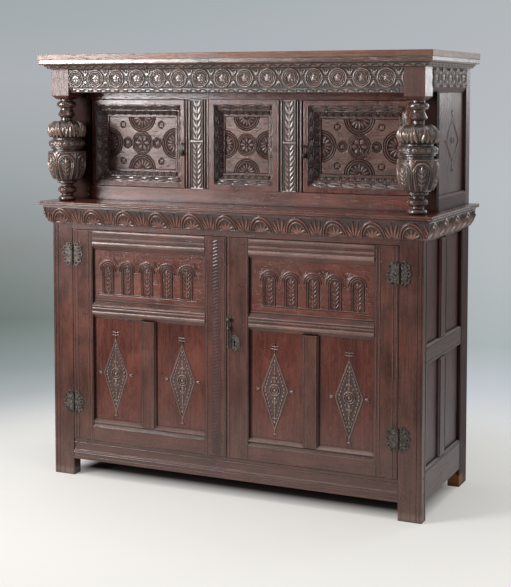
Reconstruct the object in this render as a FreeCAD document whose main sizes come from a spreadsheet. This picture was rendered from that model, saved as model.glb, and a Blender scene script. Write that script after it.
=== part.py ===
import FreeCAD, Part
import math
import os

import Sketcher
from FreeCAD import Vector

# Court cupboard of joined oak. +Z is up, the front faces -Y, and the origin is on the
# floor under the middle of the whole outline. All lengths are millimetres, angles degrees.

SIZES = [
    # whole case
    ("case_width", 1500, "over the outer faces of the legs"),
    ("case_depth", 565, "front face of the legs to the back"),
    ("full_height", 1638, "floor to the top of the cornice board"),
    ("ledge_height", 1073, "floor to the top of the ledge board"),
    ("lower_drawn", 1059, "lower stage as its levels are given; they stretch with it"),
    ("upper_drawn", 543, "upper stage as its levels are given; they stretch with it"),
    ("column_drawn", 393, "turned column as its rings are given; they stretch with it"),
    ("ledge_overhang", 40, "ledge board beyond the case at front and sides"),
    ("ledge_thick", 14, "ledge board"),
    ("ledge_nosing", 4, "round on the ledge board's edges"),
    ("ovolo_height", 72, "carved ovolo under the ledge"),
    ("ovolo_reach", 26, "how far the ovolo stands out at its top"),
    ("ovolo_quirk", 5, "small fillet at the foot of the ovolo"),
    ("ovolo_cap", 8, "upright top part of the ovolo"),
    ("seat", 0.3, "clearance between pieces that move past each other"),
    ("overrun", 5, "how far a cut runs past what it cuts"),
    # lower carcase
    ("leg_face", 87, "front legs across the front"),
    ("leg_deep", 45, "front legs front to back"),
    ("back_leg_face", 95, "back legs seen from the side"),
    ("back_leg_thick", 45, "back legs across the back"),
    ("rail_thick", 30, "front, side and back rails"),
    ("front_foot", 65, "floor to the front bottom rail"),
    ("sill_height", 80, "front bottom rail"),
    ("sill_bead_drop", 47, "bead line below the top of the front bottom rail"),
    ("sill_bead_step", 4, "step at the bead line"),
    ("head_show", 20, "front top rail below the ovolo"),
    ("side_foot", 70, "floor to the side bottom rail"),
    ("side_sill_height", 114, "side bottom rail"),
    ("side_mid_height", 74, "side middle rail"),
    ("side_mid_foot", 544, "floor to the side middle rail"),
    ("side_head_cover", 12, "side top rail below the ovolo's foot"),
    ("side_muntin_face", 75, "side muntins"),
    ("side_muntin_set", 160, "front leg to the side muntin"),
    ("side_bevel", 6, "bevel on the side rails and muntins"),
    ("panel_thick", 10, "all framed panels"),
    ("panel_recess", 12, "panel faces behind their frames"),
    ("back_rail_height", 80, "rails across the back"),
    ("board_thick", 12, "back boards"),
    ("board_inset", 8, "back boards in from the back face"),
    ("floor_thick", 15, "floor boards and shelf"),
    ("shelf_height", 560, "floor to the underside of the shelf"),
    ("shelf_set", 75, "shelf in from the front face"),
    # lower doors
    ("door_thick", 28, "lower doors"),
    ("door_gap", 2, "gap round the lower doors"),
    ("meeting_gap", 3, "gap between the two lower doors"),
    ("hang_stile_face", 88, "hanging stile"),
    ("meet_stile_face", 87, "meeting stile"),
    ("door_sill_face", 71, "door's bottom rail"),
    ("door_mid_face", 65, "door's middle rail"),
    ("door_head_face", 75, "door's top rail"),
    ("arcade_height", 198, "arcaded panel"),
    ("muntin_face", 64, "door's muntin"),
    ("rail_bevel", 14, "height of the bevel on the door's rails"),
    ("rail_bevel_deep", 9, "depth of the bevel on the door's rails"),
    ("muntin_bevel", 7, "bevel on the door's muntin"),
    # iron work of the lower doors
    ("pin_radius", 2.2, "hinge pin"),
    ("pin_play", 0.05, "running clearance of a hinge pin"),
    ("pin_cap_radius", 3.6, "ball on each end of the pin"),
    ("knuckle_radius", 4.5, "hinge knuckle"),
    ("knuckle_tall", 20, "each of the three knuckles"),
    ("leaf_thick", 2.5, "hinge leaf"),
    ("leaf_reach", 36, "pin to the middle of the outermost lobe"),
    ("leaf_rise", 37, "middle of the leaf to its top lobe"),
    ("leaf_root", 25, "width of the leaf's root plate"),
    ("lobe_radius", 10, "lobes of the cockscomb edge"),
    ("lobe_hole", 4.4, "piercings in the lobes"),
    ("hinge_high", 870, "floor to the middle of the upper hinges"),
    ("hinge_low", 290, "floor to the middle of the lower hinges"),
    ("plate_thick", 2, "escutcheon and back plates"),
    ("escutcheon_wide", 42, "lock escutcheon"),
    ("escutcheon_tall", 62, "lock escutcheon"),
    ("escutcheon_set", 34, "middle of the cabinet to the escutcheon's middle"),
    ("keyhole_height", 575, "floor to the keyhole"),
    ("keyhole_radius", 4, "round of the keyhole"),
    ("keyhole_slot", 4, "width of the keyhole's slot"),
    ("keyhole_tall", 20, "keyhole from top to bottom"),
    ("lock_wide", 96, "lock case"),
    ("lock_tall", 70, "lock case"),
    ("lock_deep", 18, "lock case"),
    ("lock_wall", 2, "lock case plate"),
    ("bolt_long", 62, "lock bolt"),
    ("bolt_tall", 18, "lock bolt"),
    ("bolt_thick", 6, "lock bolt"),
    ("bolt_rise", 21, "middle of the bolt above the middle of the keyhole"),
    ("lock_set", 4, "lock case and keeper in from their doors' edges"),
    ("bolt_play", 0.5, "clearance round the bolt"),
    ("keeper_long", 30, "keeper behind the left door"),
    ("keeper_wall", 3, "keeper strap"),
    ("handle_height", 664, "floor to the pivot of the drop handle"),
    ("handle_set", 12, "middle of the cabinet to the drop handle"),
    ("handle_plate_radius", 9.5, "back plate of the drop handle"),
    ("handle_stem", 9, "back plate's face to the handle's pivot"),
    ("handle_pivot_radius", 2, "pivot of the drop handle"),
    ("handle_play", 0.4, "clearance beside the drop handle's eye"),
    ("handle_eye_radius", 6, "eye of the drop handle"),
    ("handle_eye_wide", 6, "eye of the drop handle along its pivot"),
    ("handle_cheek", 3, "cheeks of the staple"),
    ("handle_drop", 105, "pivot to the bottom of the drop handle"),
    ("handle_neck_radius", 2.5, "neck of the drop handle"),
    ("handle_knop_radius", 7.5, "drop handle's knop"),
    ("handle_knop_tall", 22, "drop handle's knop"),
    ("handle_knop_fall", 33, "pivot to the middle of the knop"),
    ("handle_tip_radius", 5, "bead at the drop handle's tip"),
    ("handle_tip_tall", 9, "bead at the drop handle's tip"),
    # upper stage
    ("block_wide", 76, "square block over a column"),
    ("block_deep", 88, "square block over a column"),
    ("block_drop", 150, "cornice board down to the block's foot"),
    ("block_bevel", 14, "bevel round the block's foot"),
    ("recess", 140, "upper front behind the blocks' faces"),
    ("frieze_drop", 125, "cornice board down to the front frieze's foot"),
    ("frieze_thick", 34, "front frieze"),
    ("frieze_set", 3, "front frieze behind the blocks' faces"),
    ("frieze_bead", 18, "gouged moulding along the frieze's foot"),
    ("frieze_bead_deep", 9, "slope of the gouged moulding"),
    ("side_frieze_height", 123, "side friezes, moulding and all"),
    ("upper_stile_face", 90, "outer stiles of the upper front"),
    ("upper_sill_height", 53, "bottom rails of the upper stage"),
    ("upper_head_drop", 150, "cornice board down to the upper front's top rail"),
    ("upper_post_deep", 50, "upper back posts seen from the side"),
    ("upper_post_face", 54, "upper back posts seen from behind"),
    ("pilaster_set", 141, "middle of the cabinet to a pilaster"),
    ("pilaster_face", 99, "pilasters"),
    ("pilaster_strip", 52, "carved strip down a pilaster"),
    ("pilaster_sink", 4, "side fillets of a pilaster behind its strip"),
    # mitred frames of the upper stage
    ("mould_deep", 40, "sloping border down to the carved field"),
    ("mould_lip", 6, "small step at the foot of the sloping border"),
    ("mould_flat", 18, "flat outer edge of a frame"),
    ("mould_edge_thick", 22, "thickness of a frame at its outer edge"),
    ("mould_shoulder", 14, "outer edge to the thick part of a frame"),
    ("frame_deep", 51, "thickness of a frame at its border"),
    ("upper_door_stile", 60, "stiles of the upper doors"),
    ("upper_door_rail", 66, "rails of the upper doors"),
    ("middle_stile", 51, "stiles of the fixed middle frame"),
    ("middle_rail", 64, "rails of the fixed middle frame"),
    ("upper_door_gap", 2, "gap round the upper doors"),
    ("pivot_inset", 8, "pivot from the door's edge and face"),
    ("pivot_radius", 4, "round pivots on the hanging stiles"),
    ("pivot_long", 14, "length of the round pivots"),
    ("edge_round", 6, "round on the front edge of the upper doors' stiles"),
    ("pull_rise", 224, "ledge to the pivot of the upper pulls"),
    ("pull_set", 9, "door's edge to the middle of a pull"),
    ("pull_pivot_radius", 1.5, "staple of an upper pull"),
    ("pull_stem", 9.5, "door face to the pivot of an upper pull"),
    ("pull_drop", 46, "pivot to the bottom of an upper pull"),
    ("pull_radius", 8, "widest part of an upper pull"),
    ("pull_belly", 11, "bottom of an upper pull to its widest part"),
    ("pull_tip_radius", 3, "foot of an upper pull"),
    ("pull_neck_radius", 1.8, "neck of an upper pull"),
    ("pull_shoulder", 26, "bottom of an upper pull to its neck"),
    ("pull_eye_wide", 4, "eye of an upper pull along its staple"),
    ("pull_eye_radius", 4.5, "eye of an upper pull"),
    # cornice
    ("top_thick", 22, "cornice board"),
    ("top_overhang", 38, "cornice board beyond the case"),
    ("bed_height", 16, "gouged lower band of the cornice"),
    ("bed_foot", 4, "how far the band stands out at its foot"),
    ("bed_reach", 22, "how far the band stands out at its top"),
    ("crown_height", 19, "upper band of the cornice"),
    ("crown_reach", 36, "how far the upper band stands out"),
    ("crown_round", 6, "round under the upper band"),
    # turned columns: radii and heights above the ledge
    ("swell_radius", 69, "widest turning of the cup and the cover"),
    ("foot_ring_radius", 34, "bottom ring"),
    ("foot_ring_tall", 18, "bottom ring"),
    ("neck_radius", 22, "the thin necks"),
    ("low_neck_tall", 13, "neck above the bottom ring"),
    ("low_ring_radius", 36, "ring above the low neck"),
    ("low_ring_tall", 22, "ring above the low neck"),
    ("cup_neck_tall", 14, "neck under the cup"),
    ("cup_seat_radius", 38, "narrow ring that carries the cup"),
    ("cup_seat_tall", 13, "narrow ring that carries the cup"),
    ("cup_foot_radius", 46, "cup where it starts"),
    ("cup_belly_tall", 67, "cup's rounded lower part"),
    ("cup_wall_tall", 45, "cup's upright upper part"),
    ("collar_groove_radius", 54, "grooves above and below the collar"),
    ("collar_groove_tall", 11, "groove below the collar"),
    ("collar_fillet_radius", 62, "thin step under the collar"),
    ("collar_fillet_tall", 5, "thin step under the collar"),
    ("collar_radius", 68, "collar between cup and cover"),
    ("collar_tall", 28, "collar between cup and cover"),
    ("cover_groove_tall", 7, "groove above the collar"),
    ("cover_low", 33, "widest part of the cover above its foot"),
    ("cover_dome", 32, "cover's widest part to its top"),
    ("cover_top_radius", 34, "cover at its top"),
    ("top_neck_tall", 18, "neck over the cover"),
    ("bell_radius", 34, "small bell under the top ring, at its foot"),
    ("bell_top_radius", 26, "small bell under the top ring, at its top"),
    ("bell_tall", 24, "small bell under the top ring"),
    ("ring_neck_radius", 24, "neck between the bell and the top ring"),
    ("ring_neck_tall", 10, "neck between the bell and the top ring"),
    ("top_ring_radius", 38, "top ring"),
    ("top_ring_tall", 26, "top ring"),
]
BOARD_COUNT = 5
LOBE_COUNT = 5
MAX_NODES = 60

# Shares of the sizes that they follow
LOBE_FAN_SHARE = 0.85
CAP_LIFT_SHARE = 0.85
EYE_SINK_SHARE = 0.9
EDGE_SHARE = 0.25

DOC = FreeCAD.newDocument("court_cupboard")


class Size:
    """A length with its value and its formula on the sheet."""

    def __init__(self, value, formula):
        self.value = value
        self.formula = formula

    @staticmethod
    def of(item):
        if isinstance(item, Size):
            return item
        return Size(float(item), repr(item))

    def joined(self, other, sign, value):
        return Size(value, f"({self.formula} {sign} {other.formula})")

    def __add__(self, other):
        other = Size.of(other)
        return self.joined(other, "+", self.value + other.value)

    def __sub__(self, other):
        other = Size.of(other)
        return self.joined(other, "-", self.value - other.value)

    def __mul__(self, other):
        other = Size.of(other)
        return self.joined(other, "*", self.value * other.value)

    def __truediv__(self, other):
        other = Size.of(other)
        return self.joined(other, "/", self.value / other.value)

    def __rmul__(self, other):
        return self * other

    def __neg__(self):
        return self * -1


def read_sheet():
    """Fill the sheet from the table and hand back one Size for each alias."""
    sheet = DOC.addObject("Spreadsheet::Sheet", "Sizes")
    for row, (alias, value, note) in enumerate(SIZES, start=1):
        sheet.set(f"A{row}", note)
        sheet.set(f"B{row}", str(value))
        sheet.setAlias(f"B{row}", alias)
    DOC.recompute()
    return {alias: Size(float(sheet.get(alias)), f"Sizes.{alias}") for alias, _, _ in SIZES}


class Names:
    """The sizes of the sheet, each under its own alias."""

    def __init__(self, table):
        self.__dict__.update(table)


s = Names(read_sheet())
ZERO = Size(0.0, "0")

# Places that several pieces share
half = s.case_width / 2
front = (s.ledge_overhang - s.case_depth) / 2
back = (s.ledge_overhang + s.case_depth) / 2
under_ledge = s.ledge_height - s.ledge_thick
ovolo_foot = under_ledge - s.ovolo_height
under_top = s.full_height - s.top_thick
inner_leg = half - s.leg_face
head_foot = ovolo_foot - s.head_show
sill_top = s.front_foot + s.sill_height

# Levels that stretch with their stage
lower_grow = under_ledge / s.lower_drawn
side_mid_foot = s.side_mid_foot * lower_grow
shelf_low = s.shelf_height * lower_grow
arcade_tall = s.arcade_height * lower_grow
hinge_high = s.hinge_high * lower_grow
hinge_low = s.hinge_low * lower_grow
key_level = s.keyhole_height * lower_grow
handle_level = s.handle_height * lower_grow
upper_grow = (under_top - s.ledge_height) / s.upper_drawn
block_tall = s.block_drop * upper_grow
frieze_tall = s.frieze_drop * upper_grow
side_frieze_tall = s.side_frieze_height * upper_grow
upper_sill_tall = s.upper_sill_height * upper_grow
upper_head_tall = s.upper_head_drop * upper_grow
pull_level = s.ledge_height + s.pull_rise * upper_grow


# Building blocks

def place(obj, at):
    """Bind an object's position to three formulas."""
    for axis, value in zip("xyz", at):
        obj.setExpression(f".Placement.Base.{axis}", value.formula)
    obj.Placement.Base = Vector(*(value.value for value in at))
    return obj


def box(name, wide, deep, tall, at):
    """A plain board or block."""
    obj = DOC.addObject("Part::Box", name)
    for prop, value in (("Length", wide), ("Width", deep), ("Height", tall)):
        obj.setExpression(prop, value.formula)
    return place(obj, at)


AXIS_TURNS = {
    "x": FreeCAD.Rotation(Vector(0, 1, 0), 90),
    "y": FreeCAD.Rotation(Vector(1, 0, 0), -90),
    "z": FreeCAD.Rotation(),
}


def rod(name, radius, long, at, along="z"):
    """A cylinder from a point, along +X, +Y or +Z."""
    obj = DOC.addObject("Part::Cylinder", name)
    obj.setExpression("Radius", radius.formula)
    obj.setExpression("Height", long.formula)
    obj.Placement.Rotation = AXIS_TURNS[along]
    return place(obj, at)


def ball(name, radius, at):
    obj = DOC.addObject("Part::Sphere", name)
    obj.setExpression("Radius", radius.formula)
    return place(obj, at)


def joined(name, *parts):
    obj = DOC.addObject("Part::MultiFuse", name)
    obj.Shapes = list(parts)
    return obj


def cut(name, base, *tools):
    """Base less all the tools."""
    obj = DOC.addObject("Part::Cut", name)
    obj.Base = base
    obj.Tool = tools[0] if len(tools) == 1 else joined(name + "_cuts", *tools)
    return obj


def mirrored(name, source, normal=(1, 0, 0), through=None):
    """The other half of a pair, by default across the middle of the cabinet."""
    obj = DOC.addObject("Part::Mirroring", name)
    obj.Source = source
    obj.Normal = Vector(*normal)
    if through:
        axis, value = through
        obj.setExpression(f".Base.{axis}", value.formula)
        obj.Base = Vector(*(value.value if item == axis else 0 for item in "xyz"))
    return obj


def origin_plane(body, role):
    return next(item for item in body.Origin.OriginFeatures if item.Role == role)


def pin_vertex(sketch, geometry, end, x, y):
    """Hold a vertex of a sketch at x, y."""
    if x is ZERO and y is ZERO:
        sketch.addConstraint(Sketcher.Constraint("Coincident", -1, 1, geometry, end))
        return
    for kind, value, axis in (("DistanceX", x, -2), ("DistanceY", y, -1)):
        if value is ZERO:
            sketch.addConstraint(Sketcher.Constraint("PointOnObject", geometry, end, axis))
        else:
            bind_distance(sketch, kind, geometry, end, value)


def bind_distance(sketch, kind, geometry, end, value):
    index = sketch.addConstraint(
        Sketcher.Constraint(kind, -1, 1, geometry, end, value.value))
    sketch.setExpression(f"Constraints[{index}]", value.formula)


def arc_edge(start, end, centre):
    """The shorter arc from start to end round a centre."""
    middle = (start + end) * 0.5 - centre
    radius = (start - centre).Length
    if middle.Length < 1e-6 * radius:
        across = end - start
        middle = Vector(across.y, -across.x, 0)
    return Part.Arc(start, centre + middle * (radius / middle.Length), end)


def draw(body, role, outline, name="Outline"):
    """A closed sketch on one of the body's own planes.

    Each item is (x, y), the end of a straight side, or (x, y, "x" or "y", c): an arc that
    ends at x, y and whose centre has c as its x or y.
    """
    sketch = body.newObject("Sketcher::SketchObject", name)
    sketch.AttachmentSupport = [(origin_plane(body, role), "")]
    sketch.MapMode = "FlatFace"
    count = len(outline)
    points = [Vector(item[0].value, item[1].value, 0) for item in outline]
    for index, item in enumerate(outline):
        start = points[index - 1]
        end = points[index]
        if len(item) == 2:
            sketch.addGeometry(Part.LineSegment(start, end), False)
        else:
            centre = arc_centre(start, end, item[2], item[3].value)
            sketch.addGeometry(arc_edge(start, end, centre), False)
    turned = [edge_ends(sketch, index, points) for index in range(count)]
    for index, item in enumerate(outline):
        after = (index + 1) % count
        sketch.addConstraint(Sketcher.Constraint(
            "Coincident", index, turned[index][1], after, turned[after][0]))
        pin_vertex(sketch, index, turned[index][1], item[0], item[1])
        if len(item) == 4:
            kind = "DistanceX" if item[2] == "x" else "DistanceY"
            bind_distance(sketch, kind, index, 3, item[3])
    return sketch


def arc_centre(start, end, axis, known):
    """Centre of an arc through two points when one of its coordinates is known."""
    middle = (start + end) * 0.5
    along = end - start
    if axis == "x":
        return Vector(known, middle.y - (known - middle.x) * along.x / along.y, 0)
    return Vector(middle.x - (known - middle.y) * along.y / along.x, known, 0)


def edge_ends(sketch, index, points):
    """Which end of an edge comes first: an arc is kept anticlockwise, whatever its start."""
    edge = sketch.Geometry[index]
    if (edge.StartPoint - points[index - 1]).Length < (edge.EndPoint - points[index - 1]).Length:
        return (1, 2)
    return (2, 1)


PAD_PLANES = {"x": "YZ_Plane", "y": "XZ_Plane", "z": "XY_Plane"}


def run(name, along, outline, long, at):
    """A moulded piece: an outline padded along an axis.

    The outline is seen in the plane across that axis: (y, z) for x, (x, z) for y and
    (x, y) for z, from the low corner of the piece.
    """
    body = DOC.addObject("PartDesign::Body", name)
    sketch = draw(body, PAD_PLANES[along], outline)
    pad = body.newObject("PartDesign::Pad", name + "_pad")
    pad.Profile = sketch
    pad.setExpression("Length", long.formula)
    pad.Reversed = along == "y"
    sketch.Visibility = False
    return place(body, at)


def trim(body, outlines):
    """Cut outlines seen from the front right through a body."""
    for index, outline in enumerate(outlines):
        sketch = draw(body, "XZ_Plane", outline, f"Trim{index}")
        pocket = body.newObject("PartDesign::Pocket", f"{body.Name}_trim{index}")
        pocket.Profile = sketch
        pocket.Type = "ThroughAll"
        pocket.Midplane = True
    return body


def rect(wide, tall):
    return [(ZERO, ZERO), (wide, ZERO), (wide, tall), (ZERO, tall)]


NODES = {}


def node(name, *parts):
    """Give a sub-part its name. Several solids of one kind share a node."""
    if len(parts) == 1:
        obj = parts[0]
    else:
        obj = DOC.addObject("Part::Compound", name + "_set")
        obj.Links = list(parts)
    obj.Label = name
    NODES[name] = obj
    return obj


def pair(name, source):
    """Two nodes, left and right, from the left-hand piece."""
    node(name + "_left", source)
    node(name + "_right", mirrored(name + "_mirror", source))


def both(name, *sources):
    """One node with the left-hand pieces and their mirror images."""
    others = [mirrored(f"{name}_mirror{index}", item) for index, item in enumerate(sources)]
    node(name, *sources, *others)


# Lower carcase

def legs():
    pair("front_leg", box("FrontLeg", s.leg_face, s.leg_deep, under_ledge, (-half, front, ZERO)))
    pair("back_leg", box("BackLeg", s.back_leg_thick, s.back_leg_face, under_ledge,
                         (-half, back - s.back_leg_face, ZERO)))


def front_rails():
    """Top rail behind the ovolo, and the bottom rail with its stepped bead line."""
    head = box("LowerHead", 2 * inner_leg, s.rail_thick, under_ledge - head_foot,
               (-inner_leg, front, head_foot))
    node("lower_top_rail", head)
    bead = s.sill_height - s.sill_bead_drop
    step = s.sill_bead_step
    outline = [
        (ZERO, ZERO), (s.rail_thick, ZERO), (s.rail_thick, s.sill_height),
        (step, s.sill_height), (step, bead + step), (ZERO, bead),
    ]
    node("lower_bottom_rail", run("LowerSill", "x", outline, 2 * inner_leg,
                                  (-inner_leg, front, s.front_foot)))


side_front = front + s.leg_deep
side_long = s.case_depth - s.leg_deep - s.back_leg_face
side_sill_top = s.side_foot + s.side_sill_height


def beveled_board(name, along, face, long, thick, bevel, low, high, at):
    """A rail or muntin of a side frame: its show face is on -X and may be bevelled."""
    outline = [(thick, ZERO), (thick, face)]
    outline += [(bevel, face), (ZERO, face - bevel)] if high else [(ZERO, face)]
    outline += [(ZERO, bevel), (bevel, ZERO)] if low else [(ZERO, ZERO)]
    return run(name, along, outline, long, at)


def side_frames():
    """Rails, muntins and panels of the two lower sides, left side first."""
    mid_foot = side_mid_foot
    mid_top = mid_foot + s.side_mid_height
    head_low = ovolo_foot - s.side_head_cover
    rails = [
        beveled_board("SideSill", "y", s.side_sill_height, side_long, s.rail_thick,
                      s.side_bevel, False, True, (-half, side_front, s.side_foot)),
        beveled_board("SideMid", "y", s.side_mid_height, side_long, s.rail_thick,
                      s.side_bevel, True, True, (-half, side_front, mid_foot)),
        beveled_board("SideHead", "y", under_ledge - head_low, side_long, s.rail_thick,
                      s.side_bevel, True, False, (-half, side_front, head_low)),
    ]
    pair_sets("lower_side_rails", rails)
    muntin_at = side_front + s.side_muntin_set
    fields = [(side_sill_top, mid_foot), (mid_top, head_low)]
    muntins = []
    panels = []
    for index, (low, high) in enumerate(fields):
        muntins.append(beveled_board(f"SideMuntin{index}", "z", s.side_muntin_face, high - low,
                                     s.rail_thick, s.side_bevel, True, True,
                                     (-half, muntin_at, low)))
        spans = [(side_front, s.side_muntin_set),
                 (muntin_at + s.side_muntin_face,
                  side_long - s.side_muntin_set - s.side_muntin_face)]
        for column, (start, deep) in enumerate(spans):
            panels.append(box(f"SidePanel{index}{column}", s.panel_thick, deep, high - low,
                              (s.panel_recess - half, start, low)))
    both("lower_side_muntins", *muntins)
    both("lower_side_panels", *panels)


def pair_sets(name, sources):
    """A node for the left set and a node for the right set."""
    node(name + "_left", *sources)
    others = [mirrored(f"{name}_mirror{index}", item) for index, item in enumerate(sources)]
    node(name + "_right", *others)


def lower_back():
    """Two rails and upright boards between them."""
    inner = half - s.back_leg_thick
    rail_at = back - s.rail_thick
    low = s.side_foot
    high = under_ledge - s.back_rail_height
    node("lower_back_rails",
         box("BackSill", 2 * inner, s.rail_thick, s.back_rail_height, (-inner, rail_at, low)),
         box("BackHead", 2 * inner, s.rail_thick, s.back_rail_height, (-inner, rail_at, high)))
    start = low + s.back_rail_height
    boards_at = back - s.board_inset - s.board_thick
    node("lower_back_boards", *back_boards("LowerBoard", inner, boards_at, start, high - start))


def back_boards(name, inner, at_y, low, tall):
    wide = 2 * inner / BOARD_COUNT
    return [box(f"{name}{index}", wide, s.board_thick, tall,
                (index * wide - inner, at_y, low)) for index in range(BOARD_COUNT)]


def inside_boards():
    """Floor boards notched round the legs, and one shelf on the side rails' level."""
    side_inner = half - s.rail_thick
    low = sill_top - s.floor_thick
    long = 2 * side_inner
    start = front + s.rail_thick
    leg_back = front + s.leg_deep
    rear = back - s.rail_thick
    leg_front = back - s.back_leg_face
    third = (rear - start) / 3
    notch = s.leg_face - s.rail_thick
    notch_deep = leg_back - start
    floor_front = run("FloorFront", "z", [
        (notch, ZERO), (long - notch, ZERO), (long - notch, notch_deep), (long, notch_deep),
        (long, third), (ZERO, third), (ZERO, notch_deep), (notch, notch_deep)],
        s.floor_thick, (-side_inner, start, low))
    floor_middle = box("FloorMiddle", long, third, s.floor_thick,
                       (-side_inner, start + third, low))
    back_notch = s.back_leg_thick - s.rail_thick
    leg_in = leg_front - start - 2 * third
    floor_back = run("FloorBack", "z", [
        (ZERO, ZERO), (long, ZERO), (long, leg_in), (long - back_notch, leg_in),
        (long - back_notch, third), (back_notch, third), (back_notch, leg_in), (ZERO, leg_in)],
        s.floor_thick, (-side_inner, start + 2 * third, low))
    node("lower_floor_boards", floor_front, floor_middle, floor_back)
    shelf_deep = back - s.board_inset - s.board_thick - front - s.shelf_set
    leg_part = leg_front - front - s.shelf_set
    node("lower_shelf", run("Shelf", "z", [
        (ZERO, ZERO), (long, ZERO), (long, leg_part), (long - back_notch, leg_part),
        (long - back_notch, shelf_deep), (back_notch, shelf_deep), (back_notch, leg_part),
        (ZERO, leg_part)],
        s.floor_thick, (-side_inner, front + s.shelf_set, shelf_low)))


# Ledge and cornice

def rounded_board(name, wide, deep, thick, nosing, at):
    """A board with its front and side edges rounded over."""
    body = run(name, "z", rect(wide, deep), thick, at)
    DOC.recompute()
    pad = body.Tip
    edges = []
    for index, edge in enumerate(pad.Shape.Edges, start=1):
        middle = edge.CenterOfMass
        level = abs(edge.Vertexes[0].Z - edge.Vertexes[-1].Z) < nosing.value
        if level and middle.y < deep.value - nosing.value:
            edges.append(f"Edge{index}")
    fillet = body.newObject("PartDesign::Fillet", name + "_nosing")
    fillet.Base = (pad, edges)
    fillet.setExpression("Radius", nosing.formula)
    return body


def mitred_run(name, section, reach, low):
    """A moulding round the front and both sides, mitred at the front corners.

    The section is seen from the right end: x is the distance behind the moulding's
    foremost line and y the height. Gives the front, left and right runs.
    """
    over = s.overrun
    front_run = run(name + "Front", "x", section, 2 * (half + reach),
                    (-half - reach, front - reach, low))
    long = 2 * (half + reach)
    front_cuts = [
        [(ZERO, ZERO), (reach, reach), (-over, reach), (-over, ZERO)],
        [(long, ZERO), (long + over, ZERO), (long + over, reach), (long - reach, reach)],
    ]
    cut_from_above(front_run, front_cuts)
    side_run = run(name + "Side", "y", section, s.case_depth + reach,
                   (-half - reach, front - reach, low))
    cut_from_above(side_run, [[(ZERO, ZERO), (reach + over, ZERO),
                               (reach + over, reach + over)]])
    return front_run, side_run, mirrored(name + "SideMirror", side_run)


def cut_from_above(body, outlines):
    """Cut outlines seen from above right through a body."""
    for index, outline in enumerate(outlines):
        sketch = draw(body, "XY_Plane", outline, f"Mitre{index}")
        pocket = body.newObject("PartDesign::Pocket", f"{body.Name}_mitre{index}")
        pocket.Profile = sketch
        pocket.Type = "ThroughAll"
        pocket.Midplane = True
    return body


def ledge():
    wide = s.case_width + 2 * s.ledge_overhang
    deep = s.case_depth + s.ledge_overhang
    node("ledge_board", rounded_board("LedgeBoard", wide, deep, s.ledge_thick, s.ledge_nosing,
                                      (-half - s.ledge_overhang, front - s.ledge_overhang,
                                       under_ledge)))
    top = s.ovolo_height
    quirk = s.ovolo_quirk
    section = [
        (s.ovolo_reach - quirk, ZERO), (s.ovolo_reach, ZERO), (s.ovolo_reach, top),
        (ZERO, top), (ZERO, top - s.ovolo_cap),
        (s.ovolo_reach - quirk, quirk, "y", top - s.ovolo_cap),
    ]
    node("ledge_mouldings", *mitred_run("Ovolo", section, s.ovolo_reach, ovolo_foot))


def cornice():
    """The top board, and a gouged band under a square one round three sides."""
    wide = s.case_width + 2 * s.top_overhang
    deep = s.case_depth + s.top_overhang
    node("cornice_board", box("CorniceBoard", wide, deep, s.top_thick,
                              (-half - s.top_overhang, front - s.top_overhang, under_top)))
    reach = s.crown_reach
    tall = s.bed_height + s.crown_height
    section = [
        (reach, ZERO), (reach, tall), (ZERO, tall),
        (ZERO, s.bed_height + s.crown_round),
        (s.crown_round, s.bed_height, "x", s.crown_round),
        (reach - s.bed_reach, s.bed_height), (reach - s.bed_foot, ZERO),
    ]
    node("cornice_mouldings", *mitred_run("Cornice", section, reach, under_top - tall))


# Lower doors

door_left = s.door_gap - inner_leg
door_right = -s.meeting_gap / 2
door_low = sill_top + s.door_gap
door_high = head_foot - s.door_gap
rail_left = door_left + s.hang_stile_face
rail_long = door_right - s.meet_stile_face - rail_left
door_sill_top = door_low + s.door_sill_face
door_head_low = door_high - s.door_head_face
door_mid_top = door_head_low - arcade_tall
door_mid_low = door_mid_top - s.door_mid_face


def door_rail(name, face, low, bevel_low, bevel_high):
    """A rail with a broad bevel on the edges that meet a panel."""
    thick = s.door_thick
    tall = s.rail_bevel
    deep = s.rail_bevel_deep
    outline = [(thick, ZERO), (thick, face)]
    outline += [(deep, face), (ZERO, face - tall)] if bevel_high else [(ZERO, face)]
    outline += [(ZERO, tall), (deep, ZERO)] if bevel_low else [(ZERO, ZERO)]
    return run(name, "x", outline, rail_long, (rail_left, front, low))


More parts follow.
